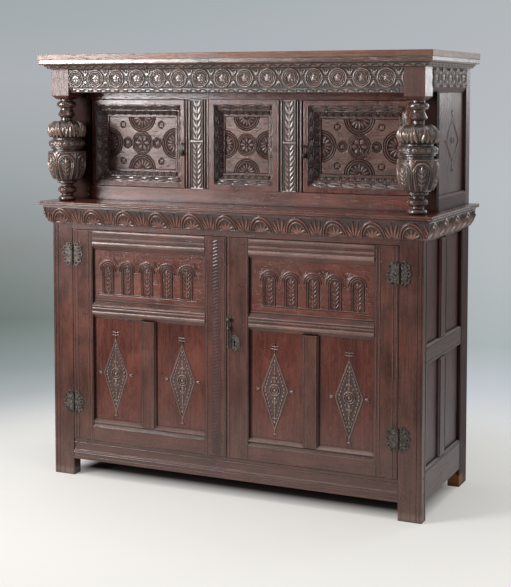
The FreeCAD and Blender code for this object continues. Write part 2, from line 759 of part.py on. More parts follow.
def lower_doors():
    tall = door_high - door_low
    stiles = [
        box("HangStile", s.hang_stile_face, s.door_thick, tall, (door_left, front, door_low)),
        box("MeetStile", s.meet_stile_face, s.door_thick, tall,
            (door_right - s.meet_stile_face, front, door_low)),
    ]
    rails = [
        door_rail("DoorSill", s.door_sill_face, door_low, False, True),
        door_rail("DoorMid", s.door_mid_face, door_mid_low, True, True),
        door_rail("DoorHead", s.door_head_face, door_head_low, True, False),
    ]
    low_tall = door_mid_low - door_sill_top
    panel_wide = (rail_long - s.muntin_face) / 2
    bevel = s.muntin_bevel
    face = s.muntin_face
    muntin = run("DoorMuntin", "z", [
        (bevel, ZERO), (face - bevel, ZERO), (face, bevel), (face, s.door_thick),
        (ZERO, s.door_thick), (ZERO, bevel)],
        low_tall, (rail_left + panel_wide, front, door_sill_top))
    panel_at = front + s.panel_recess
    arcade = box("ArcadePanel", rail_long, s.panel_thick, arcade_tall,
                 (rail_left, panel_at, door_mid_top))
    panels = [
        box("DoorPanelA", panel_wide, s.panel_thick, low_tall,
            (rail_left, panel_at, door_sill_top)),
        box("DoorPanelB", panel_wide, s.panel_thick, low_tall,
            (rail_left + panel_wide + s.muntin_face, panel_at, door_sill_top)),
    ]
    node("lower_door_left_stiles", *stiles)
    hanging, meeting = [mirrored(item.Name + "Mirror", item) for item in stiles]
    cutters = keyhole("StileKey", front - s.overrun, s.door_thick + 2 * s.overrun)
    node("lower_door_right_stiles", hanging, cut("MeetStileKeyed", meeting, *cutters))
    pair_door("lower_door", "rails", rails)
    pair_door("lower_door", "muntin", [muntin])
    pair_door("lower_door", "arcade_panel", [arcade])
    pair_door("lower_door", "panels", panels)


def pair_door(door, part, sources):
    """The same set of pieces for the left door and, mirrored, for the right."""
    node(f"{door}_left_{part}", *sources)
    others = [mirrored(f"{door}_{part}_mirror{index}", item)
              for index, item in enumerate(sources)]
    node(f"{door}_right_{part}", *others)


# Cockscomb hinges of the lower doors

hinge_x = -inner_leg + s.door_gap / 2
hinge_y = front - s.knuckle_radius - s.seat


def hinge_leaf(name, side, middle, knuckles):
    """A pierced leaf with its knuckles. side is 1 for the door's leaf, -1 for the post's."""
    root_gap = s.knuckle_radius + s.seat + s.seat
    leaf_y = front - s.leaf_thick
    root_tall = 3 * s.knuckle_tall
    near = hinge_x + root_gap * side
    low_x = near if side > 0 else near - s.leaf_root
    shapes = [box(name + "Root", s.leaf_root, s.leaf_thick, root_tall,
                  (low_x, leaf_y, middle - root_tall / 2))]
    holes = []
    for index in range(LOBE_COUNT):
        share = index / (LOBE_COUNT - 1) * 2 - 1
        angle = math.radians(90 * share * LOBE_FAN_SHARE)
        hub = s.leaf_root / 2
        spot = (hinge_x + (hub + (s.leaf_reach - hub) * math.cos(angle)) * side,
                leaf_y, middle + s.leaf_rise * math.sin(angle))
        shapes.append(rod(f"{name}Lobe{index}", s.lobe_radius, s.leaf_thick, spot, "y"))
        holes.append(rod(f"{name}Hole{index}", s.lobe_hole, s.leaf_thick + 2 * s.overrun,
                         (spot[0], leaf_y - s.overrun, spot[2]), "y"))
    for index in knuckles:
        low = middle + (index - 1.5) * s.knuckle_tall + s.seat / 2
        tall = s.knuckle_tall - s.seat
        web_wide = root_gap + s.knuckle_radius
        web_x = hinge_x if side > 0 else hinge_x - web_wide
        shapes.append(rod(f"{name}Knuckle{index}", s.knuckle_radius, tall,
                          (hinge_x, hinge_y, low)))
        shapes.append(box(f"{name}Web{index}", web_wide, s.leaf_thick, tall,
                          (web_x, leaf_y - s.seat, low)))
    holes.append(rod(name + "Bore", s.pin_radius + s.pin_play, 4 * s.knuckle_tall,
                     (hinge_x, hinge_y, middle - 2 * s.knuckle_tall)))
    return cut(name, joined(name + "Solid", *shapes), *holes)


def hinges():
    post_leaves = []
    door_leaves = []
    pins = []
    for name, middle in (("High", hinge_high), ("Low", hinge_low)):
        post_leaves.append(hinge_leaf("PostLeaf" + name, -1, middle, (0, 2)))
        door_leaves.append(hinge_leaf("DoorLeaf" + name, 1, middle, (1,)))
        tall = 3 * s.knuckle_tall
        low = middle - tall / 2
        spot = (hinge_x, hinge_y, low)
        top = (hinge_x, hinge_y, low + tall)
        pins.append(joined("Pin" + name,
                           rod("PinShank" + name, s.pin_radius, tall, spot),
                           pin_cap("PinFoot" + name, spot, -1), pin_cap("PinHead" + name, top, 1)))
    both("lower_hinge_post_leaves", *post_leaves)
    both("lower_hinge_pins", *pins)
    pair_door("lower_door", "hinge_leaves", door_leaves)


def pin_cap(name, spot, way):
    """A small ball that caps the pin just past the last knuckle."""
    lift = s.pin_cap_radius * CAP_LIFT_SHARE * way
    return ball(name, s.pin_cap_radius, (spot[0], spot[1], spot[2] + lift))


# Lock and drop handle of the lower doors

def keyhole(name, at_y, deep):
    """The two cutters of a keyhole: a round eye over a slot."""
    low = key_level - s.keyhole_tall / 2
    eye_z = low + s.keyhole_tall - s.keyhole_radius
    eye = rod(name + "Eye", s.keyhole_radius, deep, (s.escutcheon_set, at_y, eye_z), "y")
    slot = box(name + "Slot", s.keyhole_slot, deep, s.keyhole_tall - s.keyhole_radius,
               (s.escutcheon_set - s.keyhole_slot / 2, at_y, low))
    return eye, slot


def lock():
    """Escutcheon, iron case, sliding bolt and the keeper on the other door."""
    plate_y = front - s.plate_thick
    low = key_level - s.escutcheon_tall / 2
    left = s.escutcheon_set - s.escutcheon_wide / 2
    foot = s.escutcheon_wide / 4
    shoulder = s.escutcheon_tall / 3
    top = s.escutcheon_tall
    wide = s.escutcheon_wide
    shield = run("Shield", "y", [
        (wide / 2, ZERO), (wide - foot, foot), (wide, shoulder), (wide, top - foot),
        (wide - foot, top), (foot, top), (ZERO, top - foot), (ZERO, shoulder), (foot, foot)],
        s.plate_thick, (left, plate_y, low))
    cutters = keyhole("PlateKey", plate_y - s.overrun, s.plate_thick + 2 * s.overrun)
    node("lock_escutcheon", cut("Escutcheon", shield, *cutters))
    door_edge = s.meeting_gap / 2
    back_face = front + s.door_thick
    case_x = door_edge + s.lock_set
    case_low = key_level - s.lock_tall / 2
    outer = box("LockOuter", s.lock_wide, s.lock_deep, s.lock_tall,
                (case_x, back_face, case_low))
    hollow = box("LockHollow", s.lock_wide - 2 * s.lock_wall, s.lock_deep - s.lock_wall,
                 s.lock_tall - 2 * s.lock_wall,
                 (case_x + s.lock_wall, back_face, case_low + s.lock_wall))
    play = s.bolt_play
    bolt_y = back_face + (s.lock_deep - s.bolt_thick) / 2
    bolt_low = key_level + s.bolt_rise - s.bolt_tall / 2
    mouth = box("LockMouth", s.lock_wall + 2 * s.overrun, s.bolt_thick + 2 * play,
                s.bolt_tall + 2 * play, (case_x - s.overrun, bolt_y - play, bolt_low - play))
    node("lock_case", cut("LockCase", outer, hollow, mouth))
    node("lock_bolt", box("BoltBar", s.bolt_long, s.bolt_thick, s.bolt_tall,
                          (case_x, bolt_y, bolt_low)))
    wall = s.keeper_wall
    keeper_x = -case_x - s.keeper_long
    keeper_tall = s.bolt_tall + 2 * (play + wall)
    keeper_deep = (s.lock_deep + s.bolt_thick) / 2 + play + wall
    strap = box("KeeperStrap", s.keeper_long, keeper_deep, keeper_tall,
                (keeper_x, back_face, bolt_low - play - wall))
    throat = box("KeeperThroat", s.keeper_long + 2 * s.overrun, keeper_deep - wall,
                 s.bolt_tall + 2 * play, (keeper_x - s.overrun, back_face, bolt_low - play))
    node("lock_keeper", cut("Keeper", strap, throat))


def drop_handle():
    """A round plate with a two-cheeked staple, and the drop that swings between the cheeks."""
    centre_x = s.handle_set
    plate_y = front - s.plate_thick
    pivot = (centre_x, plate_y - s.handle_stem, handle_level)
    plate = rod("HandlePlateDisc", s.handle_plate_radius, s.plate_thick,
                (centre_x, plate_y, handle_level), "y")
    inner = s.handle_eye_wide / 2 + s.handle_play
    cheek_deep = s.handle_stem + s.handle_pivot_radius * 2
    cheek_tall = s.handle_pivot_radius * 4
    cheeks = []
    for name, x in (("Left", centre_x - inner - s.handle_cheek), ("Right", centre_x + inner)):
        cheeks.append(box("HandleCheek" + name, s.handle_cheek, cheek_deep, cheek_tall,
                          (x, plate_y - cheek_deep, handle_level - cheek_tall / 2)))
    axle = rod("HandleAxle", s.handle_pivot_radius, 2 * (inner + s.handle_cheek),
               (centre_x - inner - s.handle_cheek, pivot[1], pivot[2]), "x")
    node("drop_handle_plate", joined("HandlePlate", plate, *cheeks, axle))
    neck = s.handle_neck_radius
    knop = s.handle_drop - s.handle_knop_fall
    low = knop - s.handle_knop_tall / 2
    high = knop + s.handle_knop_tall / 2
    node("drop_handle", turned_drop("DropHandle", pivot, s.handle_drop, s.handle_eye_radius,
                                    s.handle_eye_wide, s.handle_pivot_radius, [
        (neck, ZERO), (s.handle_tip_radius, s.handle_tip_tall / 2), (neck, s.handle_tip_tall),
        (neck, low), (s.handle_knop_radius, knop), (neck, high)]))


def turned_drop(name, pivot, drop, eye_radius, eye_wide, pin_radius, turning):
    """A drop that hangs by an eye: its turning is (radius, height) from the bottom up."""
    x, y, z = pivot
    eye = rod(name + "Eye", eye_radius, eye_wide, (x - eye_wide / 2, y, z), "x")
    hole = rod(name + "Bore", pin_radius + s.pin_play, eye_wide + 2 * s.overrun,
               (x - eye_wide / 2 - s.overrun, y, z), "x")
    top = drop - eye_radius * EYE_SINK_SHARE
    body = DOC.addObject("PartDesign::Body", name + "Stem")
    sketch = draw(body, "XZ_Plane", [(ZERO, ZERO), *turning, (turning[-1][0], top), (ZERO, top)])
    turned = body.newObject("PartDesign::Revolution", name + "_turned")
    turned.Profile = sketch
    turned.ReferenceAxis = (sketch, ["V_Axis"])
    turned.Angle = 360
    place(body, (x, y, z - drop))
    return cut(name, joined(name + "Solid", eye, body), hole)


# Upper stage

block_x = s.block_wide / 2 - half
block_y = front + s.block_deep / 2
recess_y = front + s.recess
block_foot = under_top - block_tall


def column_outline():
    """Half section of a turned column, from the ledge up: (radius, height) and its arcs."""
    points = [(ZERO, ZERO)]
    level = ZERO
    grow = (block_foot - s.ledge_height) / s.column_drawn

    def ring(radius, tall):
        """A round ring: a half circle that stands out to the radius."""
        nonlocal level
        core = radius - tall / 2
        points.append((core, level))
        level = level + tall * grow
        points.append((core, level, "x", core))

    def square_ring(radius, tall):
        """A ring with bevelled edges."""
        nonlocal level
        bevel = tall * grow * EDGE_SHARE
        points.append((radius - bevel, level))
        points.append((radius, level + bevel))
        level = level + tall * grow
        points.append((radius, level - bevel))
        points.append((radius - bevel, level))

    def bell(radius, top_radius, tall):
        """A ring with a bevelled foot that narrows upwards."""
        nonlocal level
        bevel = tall * grow * EDGE_SHARE
        points.append((radius - bevel, level))
        points.append((radius, level + bevel))
        level = level + tall * grow
        points.append((top_radius, level))

    def neck(radius, tall):
        """A hollow neck."""
        nonlocal level
        edge = tall * grow * EDGE_SHARE
        points.append((radius, level + edge))
        level = level + tall * grow
        points.append((radius, level - edge))

    ring(s.foot_ring_radius, s.foot_ring_tall)
    neck(s.neck_radius, s.low_neck_tall)
    square_ring(s.low_ring_radius, s.low_ring_tall)
    neck(s.neck_radius, s.cup_neck_tall)
    square_ring(s.cup_seat_radius, s.cup_seat_tall)
    belly = level + s.cup_belly_tall * grow
    points.append((s.cup_foot_radius, level))
    points.append((s.swell_radius, belly, "y", belly))
    level = belly + s.cup_wall_tall * grow
    points.append((s.swell_radius, level))
    neck(s.collar_groove_radius, s.collar_groove_tall)
    points.append((s.collar_fillet_radius, level))
    level = level + s.collar_fillet_tall * grow
    points.append((s.collar_fillet_radius, level))
    square_ring(s.collar_radius, s.collar_tall)
    points.append((s.collar_groove_radius, level + s.cover_groove_tall * grow * EDGE_SHARE))
    level = level + s.cover_groove_tall * grow
    points.append((s.collar_groove_radius, level))
    widest = level + s.cover_low * grow
    points.append((s.swell_radius, widest, "y", widest))
    level = widest + s.cover_dome * grow
    points.append((s.cover_top_radius, level, "y", widest))
    neck(s.neck_radius, s.top_neck_tall)
    bell(s.bell_radius, s.bell_top_radius, s.bell_tall)
    neck(s.ring_neck_radius, s.ring_neck_tall)
    ring(s.top_ring_radius, s.top_ring_tall)
    top = block_foot - s.ledge_height
    points.append((s.ring_neck_radius, level))
    points.append((s.ring_neck_radius, top))
    points.append((ZERO, top))
    return points


def columns():
    """Each column is one piece: a square block over a turned cup and cover."""
    body = DOC.addObject("PartDesign::Body", "ColumnTurning")
    sketch = draw(body, "XZ_Plane", column_outline())
    turned = body.newObject("PartDesign::Revolution", "ColumnTurned")
    turned.Profile = sketch
    turned.ReferenceAxis = (sketch, ["V_Axis"])
    turned.Angle = 360
    place(body, (block_x, block_y, s.ledge_height))
    block = box("ColumnBlock", s.block_wide, s.block_deep, block_tall, (-half, front, block_foot))
    bevelled = DOC.addObject("Part::Chamfer", "ColumnBlockBevel")
    bevelled.Base = block
    DOC.recompute()
    low = block_foot.value
    foot_edges = [index for index, edge in enumerate(block.Shape.Edges, start=1)
                  if abs(edge.CenterOfMass.z - low) < s.seat.value]
    bevelled.Edges = [(index, s.block_bevel.value, s.block_bevel.value) for index in foot_edges]
    both("columns", joined("Column", body, bevelled))


def friezes():
    """The carved front frieze between the blocks and the two side friezes."""
    inner = half - s.block_wide
    thick = s.frieze_thick
    bead = s.frieze_bead
    front_piece = run("FrontFrieze", "x", [
        (s.frieze_bead_deep, ZERO), (thick, ZERO), (thick, frieze_tall),
        (ZERO, frieze_tall), (ZERO, bead)],
        2 * inner, (-inner, front + s.frieze_set, under_top - frieze_tall))
    node("front_frieze", front_piece)
    start = front + s.block_deep
    long = back - s.upper_post_deep - start
    low = under_top - side_frieze_tall
    side_piece = run("SideFrieze", "y", [
        (s.frieze_bead_deep, ZERO), (s.rail_thick, ZERO), (s.rail_thick, side_frieze_tall),
        (ZERO, side_frieze_tall), (ZERO, bead)],
        long, (-half, start, low))
    both("side_friezes", side_piece)


def upper_carcase():
    """Back posts, recessed stiles, rails, pilasters, side rails and panels, back boards."""
    tall = under_top - s.ledge_height
    sill = upper_sill_tall
    post_at = back - s.upper_post_deep
    both("upper_back_posts", box("UpperPost", s.upper_post_face, s.upper_post_deep,
                                 tall, (-half, post_at, s.ledge_height)))
    shoulder = tall - side_frieze_tall
    face = s.upper_stile_face
    stile = run("UpperStile", "y", [
        (ZERO, ZERO), (face, ZERO), (face, tall), (s.rail_thick, tall),
        (s.rail_thick, shoulder), (ZERO, shoulder)],
        s.rail_thick, (-half, recess_y, s.ledge_height))
    pair("upper_front_stile", stile)
    side_at = recess_y + s.rail_thick
    side_deep = post_at - side_at
    side_sill = beveled_board("UpperSideSill", "y", sill, side_deep, s.rail_thick,
                              s.side_bevel, False, True, (-half, side_at, s.ledge_height))
    both("upper_side_rails", side_sill)
    panel_low = s.ledge_height + sill
    panel = box("UpperSidePanel", s.panel_thick, side_deep,
                under_top - side_frieze_tall - panel_low,
                (s.panel_recess - half, side_at, panel_low))
    both("upper_side_panels", panel)
    inner = half - s.upper_post_face
    boards_at = back - s.board_inset - s.board_thick
    node("upper_back_boards", *back_boards("UpperBoard", inner, boards_at, s.ledge_height, tall))


opening_half = half - s.upper_stile_face
upper_low = s.ledge_height + upper_sill_tall
upper_high = under_top - upper_head_tall
pivot_x = -opening_half + s.upper_door_gap + s.pivot_inset
pivot_y = recess_y + s.pivot_inset


def upper_front():
    """The two rails with sockets for the doors' pivots, and the pilasters between them."""
    bore = s.pivot_radius + s.pin_play
    sockets = []
    for name, low in (("Low", upper_low - s.pivot_long), ("High", upper_high - s.overrun)):
        hole = rod("Socket" + name, bore, s.pivot_long + s.overrun, (pivot_x, pivot_y, low))
        sockets.append((hole, mirrored("SocketMirror" + name, hole)))
    sill = box("UpperSill", 2 * opening_half, s.rail_thick, upper_sill_tall,
               (-opening_half, recess_y, s.ledge_height))
    head = box("UpperHead", 2 * opening_half, s.rail_thick, upper_head_tall,
               (-opening_half, recess_y, upper_high))
    node("upper_front_rails", cut("UpperSillBored", sill, *sockets[0]),
         cut("UpperHeadBored", head, *sockets[1]))
    side = (s.pilaster_face - s.pilaster_strip) / 2
    sink = s.pilaster_sink
    face = s.pilaster_face
    pilaster = run("Pilaster", "z", [
        (ZERO, sink), (side, sink), (side, ZERO), (face - side, ZERO), (face - side, sink),
        (face, sink), (face, s.rail_thick), (ZERO, s.rail_thick)],
        upper_high - upper_low, (-s.pilaster_set - face, recess_y, upper_low))
    both("pilasters", pilaster)


def frame_section(face, rounding=ZERO):
    """Section of a frame member: (across, deep) from its outer edge and its front face."""
    slope_foot = s.mould_deep - s.mould_lip
    lip = s.mould_lip
    corner = [(ZERO, ZERO)]
    if rounding is not ZERO:
        corner = [(ZERO, rounding), (rounding, ZERO, "x", rounding)]
    return corner + [
        (s.mould_flat, ZERO), (face - lip, slope_foot), (face, slope_foot),
        (face, s.frame_deep), (s.mould_shoulder, s.frame_deep),
        (s.mould_shoulder, s.mould_edge_thick), (ZERO, s.mould_edge_thick),
    ]


def mitred_frame(name, wide, tall, stile_face, rail_face, at, rounding=ZERO):
    """Two stiles that run through and two rails, with the sloping border mitred.

    Gives the left stile, its mirror image, the bottom rail and its mirror image.
    """
    x, y, z = at
    flat = s.mould_flat
    over = s.overrun
    stile = run(name + "Stile", "z", frame_section(stile_face, rounding), tall, at)
    low_cut = [(flat, flat), (stile_face, rail_face), (stile_face + over, rail_face),
               (stile_face + over, -over), (flat, -over)]
    high_cut = [(across, tall - up) for across, up in low_cut]
    trim(stile, [low_cut, high_cut])
    rail_section = [(deep, across) for across, deep in frame_section(rail_face)]
    rail = run(name + "Rail", "x", rail_section, wide, at)
    left_cut = [(flat, -over), (flat, flat), (stile_face, rail_face),
                (stile_face, rail_face + over), (-over, rail_face + over), (-over, -over)]
    right_cut = [(wide - across, up) for across, up in left_cut]
    trim(rail, [left_cut, right_cut])
    middle_x = x + wide / 2
    middle_z = z + tall / 2
    other_stile = mirrored(name + "StileOther", stile, (1, 0, 0), ("x", middle_x))
    other_rail = mirrored(name + "RailOther", rail, (0, 0, 1), ("z", middle_z))
    return stile, other_stile, rail, other_rail


def framed_field(name, wide, tall, stile_face, rail_face, at):
    """The panel that a mitred frame holds."""
    x, y, z = at
    return box(name, wide - 2 * stile_face, s.panel_thick, tall - 2 * rail_face,
               (x + stile_face, y + s.mould_deep, z + rail_face))


def upper_doors():
    gap = s.upper_door_gap
    low_x = gap - opening_half
    wide = opening_half - s.pilaster_set - s.pilaster_face - 2 * gap
    tall = upper_high - upper_low - 2 * gap
    at = (low_x, recess_y, upper_low + gap)
    faces = (s.upper_door_stile, s.upper_door_rail)
    stile, other_stile, rail, other_rail = mitred_frame("UpperDoor", wide, tall, *faces, at,
                                                        s.edge_round)
    long = s.pivot_long - gap
    low_pivot = rod("PivotLow", s.pivot_radius, s.pivot_long, (pivot_x, pivot_y, at[2] - long))
    high_pivot = rod("PivotHigh", s.pivot_radius, s.pivot_long,
                     (pivot_x, pivot_y, at[2] + tall - gap))
    hanging = joined("HangingStile", stile, low_pivot, high_pivot)
    pair_door("upper_door", "frame", [hanging, other_stile, rail, other_rail])
    panel = framed_field("UpperDoorPanel", wide, tall, *faces, at)
    pair_door("upper_door", "panel", [panel])
    pull_x = at[0] + wide - s.pull_set
    pair_door("upper_door", "pull", [upper_pull(pull_x)])
    pair_door("upper_door", "staple", [upper_staple(pull_x)])


def upper_staple(x):
    """A bent wire staple: two legs and a crossbar that the pull hangs on."""
    radius = s.pull_pivot_radius
    y = recess_y - s.pull_stem
    reach = s.pull_eye_wide / 2 + s.seat + radius
    bar = rod("StapleBar", radius, 2 * (reach + radius), (x - reach - radius, y, pull_level),
              "x")
    wires = [rod("StapleLeg" + name, radius, s.pull_stem, (leg_x, y, pull_level), "y")
             for name, leg_x in (("Left", x - reach), ("Right", x + reach))]
    return joined("Staple", bar, *wires)


def upper_pull(x):
    """A turned pear-shaped drop on a small eye."""
    pivot = (x, recess_y - s.pull_stem, pull_level)
    return turned_drop("Pull", pivot, s.pull_drop, s.pull_eye_radius, s.pull_eye_wide,
                       s.pull_pivot_radius, [
        (s.pull_tip_radius, ZERO), (s.pull_radius, s.pull_belly),
        (s.pull_neck_radius, s.pull_shoulder)])


def middle_frame():
    """The fixed middle: the same mitred frame and carved field between the pilasters."""
    wide = 2 * s.pilaster_set
    tall = upper_high - upper_low
    at = (-s.pilaster_set, recess_y, upper_low)
    faces = (s.middle_stile, s.middle_rail)
    node("middle_frame", *mitred_frame("Middle", wide, tall, *faces, at))
    node("middle_panel", framed_field("MiddlePanel", wide, tall, *faces, at))


def build():
    legs()
    front_rails()
    side_frames()
    lower_back()
    inside_boards()
    ledge()
    cornice()
    lower_doors()
    hinges()
    lock()
    drop_handle()
    columns()
    friezes()
    upper_carcase()
    upper_front()
    upper_doors()
    middle_frame()


def check():
    """Stop before anything is written if a feature failed or a shape is unsound."""
    DOC.recompute()
    faults = [f"{obj.Label}: {obj.State}" for obj in DOC.Objects
              if "Invalid" in obj.State or "Error" in obj.State]
    for name, obj in NODES.items():
        shape = obj.Shape
        if shape.isNull() or not shape.isValid() or not shape.Solids:
            faults.append(f"{name}: unsound shape")
    if len(NODES) > MAX_NODES:
        faults.append(f"{len(NODES)} nodes")
    if faults:
        raise RuntimeError("\n".join(faults))


def write():
    os.makedirs("parts", exist_ok=True)
    for name, obj in NODES.items():
        obj.Shape.exportStep(os.path.join("parts", name + ".step"))
        print(name, len(obj.Shape.Solids), round(obj.Shape.Volume))


build()
check()
write()
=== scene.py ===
import math
from functools import partial

import bmesh
import bpy
import numpy as np
from mathutils import Matrix, Vector


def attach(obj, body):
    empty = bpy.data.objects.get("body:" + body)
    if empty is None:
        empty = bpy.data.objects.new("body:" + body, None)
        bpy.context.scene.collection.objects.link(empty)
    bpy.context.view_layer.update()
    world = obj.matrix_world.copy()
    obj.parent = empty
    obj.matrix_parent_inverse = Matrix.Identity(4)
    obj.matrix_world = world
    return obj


bl_info = {
    "name": "Carved oak court cupboard",
    "version": (1, 1, 0),
    "blender": (4, 5, 0),
    "location": "3D View > Sidebar > Cupboard",
    "description": "Carving, fastenings, finishes and studio for a joined oak court cupboard",
    "category": "Object",
}

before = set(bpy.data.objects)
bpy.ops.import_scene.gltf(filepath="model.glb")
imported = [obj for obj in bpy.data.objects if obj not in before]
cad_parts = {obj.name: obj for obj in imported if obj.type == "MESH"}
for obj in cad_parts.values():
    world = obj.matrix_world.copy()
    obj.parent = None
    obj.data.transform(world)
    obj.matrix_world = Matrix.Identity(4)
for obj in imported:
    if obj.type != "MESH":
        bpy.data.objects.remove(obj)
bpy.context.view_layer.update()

# Repeat trees and materials, made by the first operator
TREES = {}
FINISHES = {}

# Levels and faces of the joiner's work, in metres
HALF = 0.75
FRONT = -0.2625
BACK = 0.3025
RECESS = -0.1225
LEDGE = 1.073
FRIEZE_FACE = FRONT + 0.003
BLOCK_FOOT = 1.466
FRIEZE_FOOT = 1.491
CORNICE_FOOT = 1.581
UNDER_TOP = 1.616
PANEL_FACE = FRONT + 0.012
UPPER_MIDDLE = 1.296
FIELD_FACE = RECESS + 0.040
UPPER_DOOR_MIDDLE = -0.45
HINGE_LEVELS = (0.870, 0.290)

# Heights of carving: open ground, worked ground and the underside of its shell
SINK = -0.0008
BED = 0.0003
UNDER = -0.0016

# The attribute 'carve' holds this number and the height in millimetres; plain wood has 0
CARVE_ZERO = 10

# The photograph's frame and the camera that was fitted to it, in pixels
PHOTO_WIDE, PHOTO_TALL = 511, 587
PHOTO_CENTRE = (254.236, 180.0)
PHOTO_FOCAL = 1307.33
SENSOR = 36


class CupboardSizes(bpy.types.PropertyGroup):
    roundel_pitch: bpy.props.FloatProperty(
        name="Roundel pitch", description="Step of the roundels on the front frieze",
        default=0.0896, min=0.05, max=0.2, subtype="DISTANCE", unit="LENGTH")
    roundel_count: bpy.props.IntProperty(
        name="Roundels", description="Roundels on the front frieze", default=16, min=1, max=40)
    crescent_pitch: bpy.props.FloatProperty(
        name="Crescent pitch", description="Step of the crescent cuts on the thin mouldings",
        default=0.0385, min=0.02, max=0.08, subtype="DISTANCE", unit="LENGTH")
    lunette_pitch: bpy.props.FloatProperty(
        name="Lunette pitch", description="Step of the arches on the ledge moulding",
        default=0.1412, min=0.1, max=0.3, subtype="DISTANCE", unit="LENGTH")
    arch_pitch: bpy.props.FloatProperty(
        name="Arch pitch", description="Step of the arcade on the lower doors",
        default=0.085, min=0.06, max=0.12, subtype="DISTANCE", unit="LENGTH")
    relief: bpy.props.FloatProperty(
        name="Relief", description="Height of the bold carving over its ground",
        default=0.0044, min=0.001, max=0.006, subtype="DISTANCE", unit="LENGTH")
    peg_radius: bpy.props.FloatProperty(
        name="Peg radius", description="Oak pegs in the joints",
        default=0.0042, min=0.002, max=0.008, subtype="DISTANCE", unit="LENGTH")


class CupboardFinish(bpy.types.PropertyGroup):
    oak_dark: bpy.props.FloatVectorProperty(
        name="Dark oak", description="Dark streaks of the waxed front",
        default=(0.056, 0.014, 0.009), min=0, max=1, subtype="COLOR")
    oak_mid: bpy.props.FloatVectorProperty(
        name="Oak", description="Main colour of the waxed front",
        default=(0.160, 0.041, 0.027), min=0, max=1, subtype="COLOR")
    # The worn colour is also the painted highlight on carved tops and plain edges
    oak_worn_and_highlight: bpy.props.FloatVectorProperty(
        name="Worn oak", description="Rubbed edges and tops of the waxed front",
        default=(0.26, 0.120, 0.085), min=0, max=1, subtype="COLOR")
    oak_red: bpy.props.FloatVectorProperty(
        name="Red oak", description="Warm patches of the waxed front",
        default=(0.24, 0.058, 0.032), min=0, max=1, subtype="COLOR")
    carved_mid: bpy.props.FloatVectorProperty(
        name="Dry carving", description="Greyer oak of the frieze and the pilasters",
        default=(0.160, 0.074, 0.056), min=0, max=1, subtype="COLOR")
    # Pale tops of carving: partly rubbed wear, partly painted highlight
    carved_worn_and_highlight: bpy.props.FloatVectorProperty(
        name="Rubbed carving", description="Pale tops of the frieze and the pilasters",
        default=(0.44, 0.31, 0.25), min=0, max=1, subtype="COLOR")
    oak_side: bpy.props.FloatVectorProperty(
        name="Side oak", description="Cooler, duller oak of the sides",
        default=(0.130, 0.044, 0.034), min=0, max=1, subtype="COLOR")
    oak_top: bpy.props.FloatVectorProperty(
        name="Top board", description="Rubbed orange-brown edge of the top board",
        default=(0.24, 0.085, 0.045), min=0, max=1, subtype="COLOR")
    oak_inside: bpy.props.FloatVectorProperty(
        name="Inside oak", description="Dry oak of the inside and the back",
        default=(0.150, 0.095, 0.060), min=0, max=1, subtype="COLOR")
    iron: bpy.props.FloatVectorProperty(
        name="Iron", description="Blackened wrought iron",
        default=(0.038, 0.033, 0.030), min=0, max=1, subtype="COLOR")


class StudioSettings(bpy.types.PropertyGroup):
    camera_place: bpy.props.FloatVectorProperty(
        name="Camera place", description="Where the camera stands",
        default=(2.0812, -4.53805, 1.49571), subtype="XYZ", unit="LENGTH")
    yaw: bpy.props.FloatProperty(
        name="Yaw", description="Turn of the camera to the left",
        default=0.43161, subtype="ANGLE", unit="ROTATION")
    pitch: bpy.props.FloatProperty(
        name="Pitch", description="Tilt of the camera, down is negative",
        default=-0.06746, subtype="ANGLE", unit="ROTATION")
    lens: bpy.props.FloatProperty(
        name="Lens", description="Focal length on a 36 mm sensor",
        default=PHOTO_FOCAL / PHOTO_TALL * SENSOR, subtype="DISTANCE_CAMERA")
    key_power: bpy.props.FloatProperty(
        name="Key light", description="Power of the upright soft box on the left",
        default=200, min=0)
    fill_power: bpy.props.FloatProperty(
        name="Fill light", description="Power of the lamp on the right", default=10, min=0)
    top_power: bpy.props.FloatProperty(
        name="Top light", description="Power of the lamp overhead", default=66, min=0)
    rim_power: bpy.props.FloatProperty(
        name="Rim light", description="Power of the lamp behind on the right",
        default=18, min=0)
    haze: bpy.props.FloatProperty(
        name="Room light", description="Share of the backdrop's light that reaches the front",
        default=0.26, min=0, max=1)


# Relief carving: heights over a grid, closed into a shell. A part is its points, its
# four-sided faces, its other faces and the height of every point.

def ramp(x):
    """A soft step from 0 to 1."""
    t = np.clip(x, 0, 1)
    return t * t * (3 - 2 * t)


def lattice(wide, tall, step):
    """Grid lines over a field whose middle is at zero."""
    us = np.linspace(-wide / 2, wide / 2, max(2, int(round(wide / step)) + 1))
    vs = np.linspace(-tall / 2, tall / 2, max(2, int(round(tall / step)) + 1))
    return us, vs


def ground(us, vs, level=SINK):
    """The grid's coordinates, and a flat height at each of its points."""
    x, z = np.meshgrid(us, vs)
    return x, z, np.full_like(x, level)


def rib(h, away, half, tall):
    """Raise a rounded rib where the distance to its line is under half its width."""
    return np.maximum(h, SINK + (tall - SINK) * np.sqrt(np.clip(1 - (away / half) ** 2, 0, 1)))


def slab(h, inside, edge, tall):
    """Raise a flat area with softened edges: inside is the distance in from its outline."""
    return np.maximum(h, SINK + (tall - SINK) * ramp(inside / edge))


def groove(h, away, half, deep):
    """Cut a rounded groove, no deeper than the worked ground."""
    return np.maximum(h - deep * np.sqrt(np.clip(1 - (away / half) ** 2, 0, 1)), BED)


def hollow(h, inside, edge, level):
    """Lower an area to a level."""
    return h + (level - h) * ramp(inside / edge)


def ball_top(h, x, z, cx, cz, radius, tall):
    """Raise a round knob."""
    return rib(h, np.hypot(x - cx, z - cz), radius, tall)


def ring(h, x, z, cx, cz, radius, half, tall):
    """Raise a rounded ring."""
    return rib(h, np.hypot(x - cx, z - cz) - radius, half, tall)


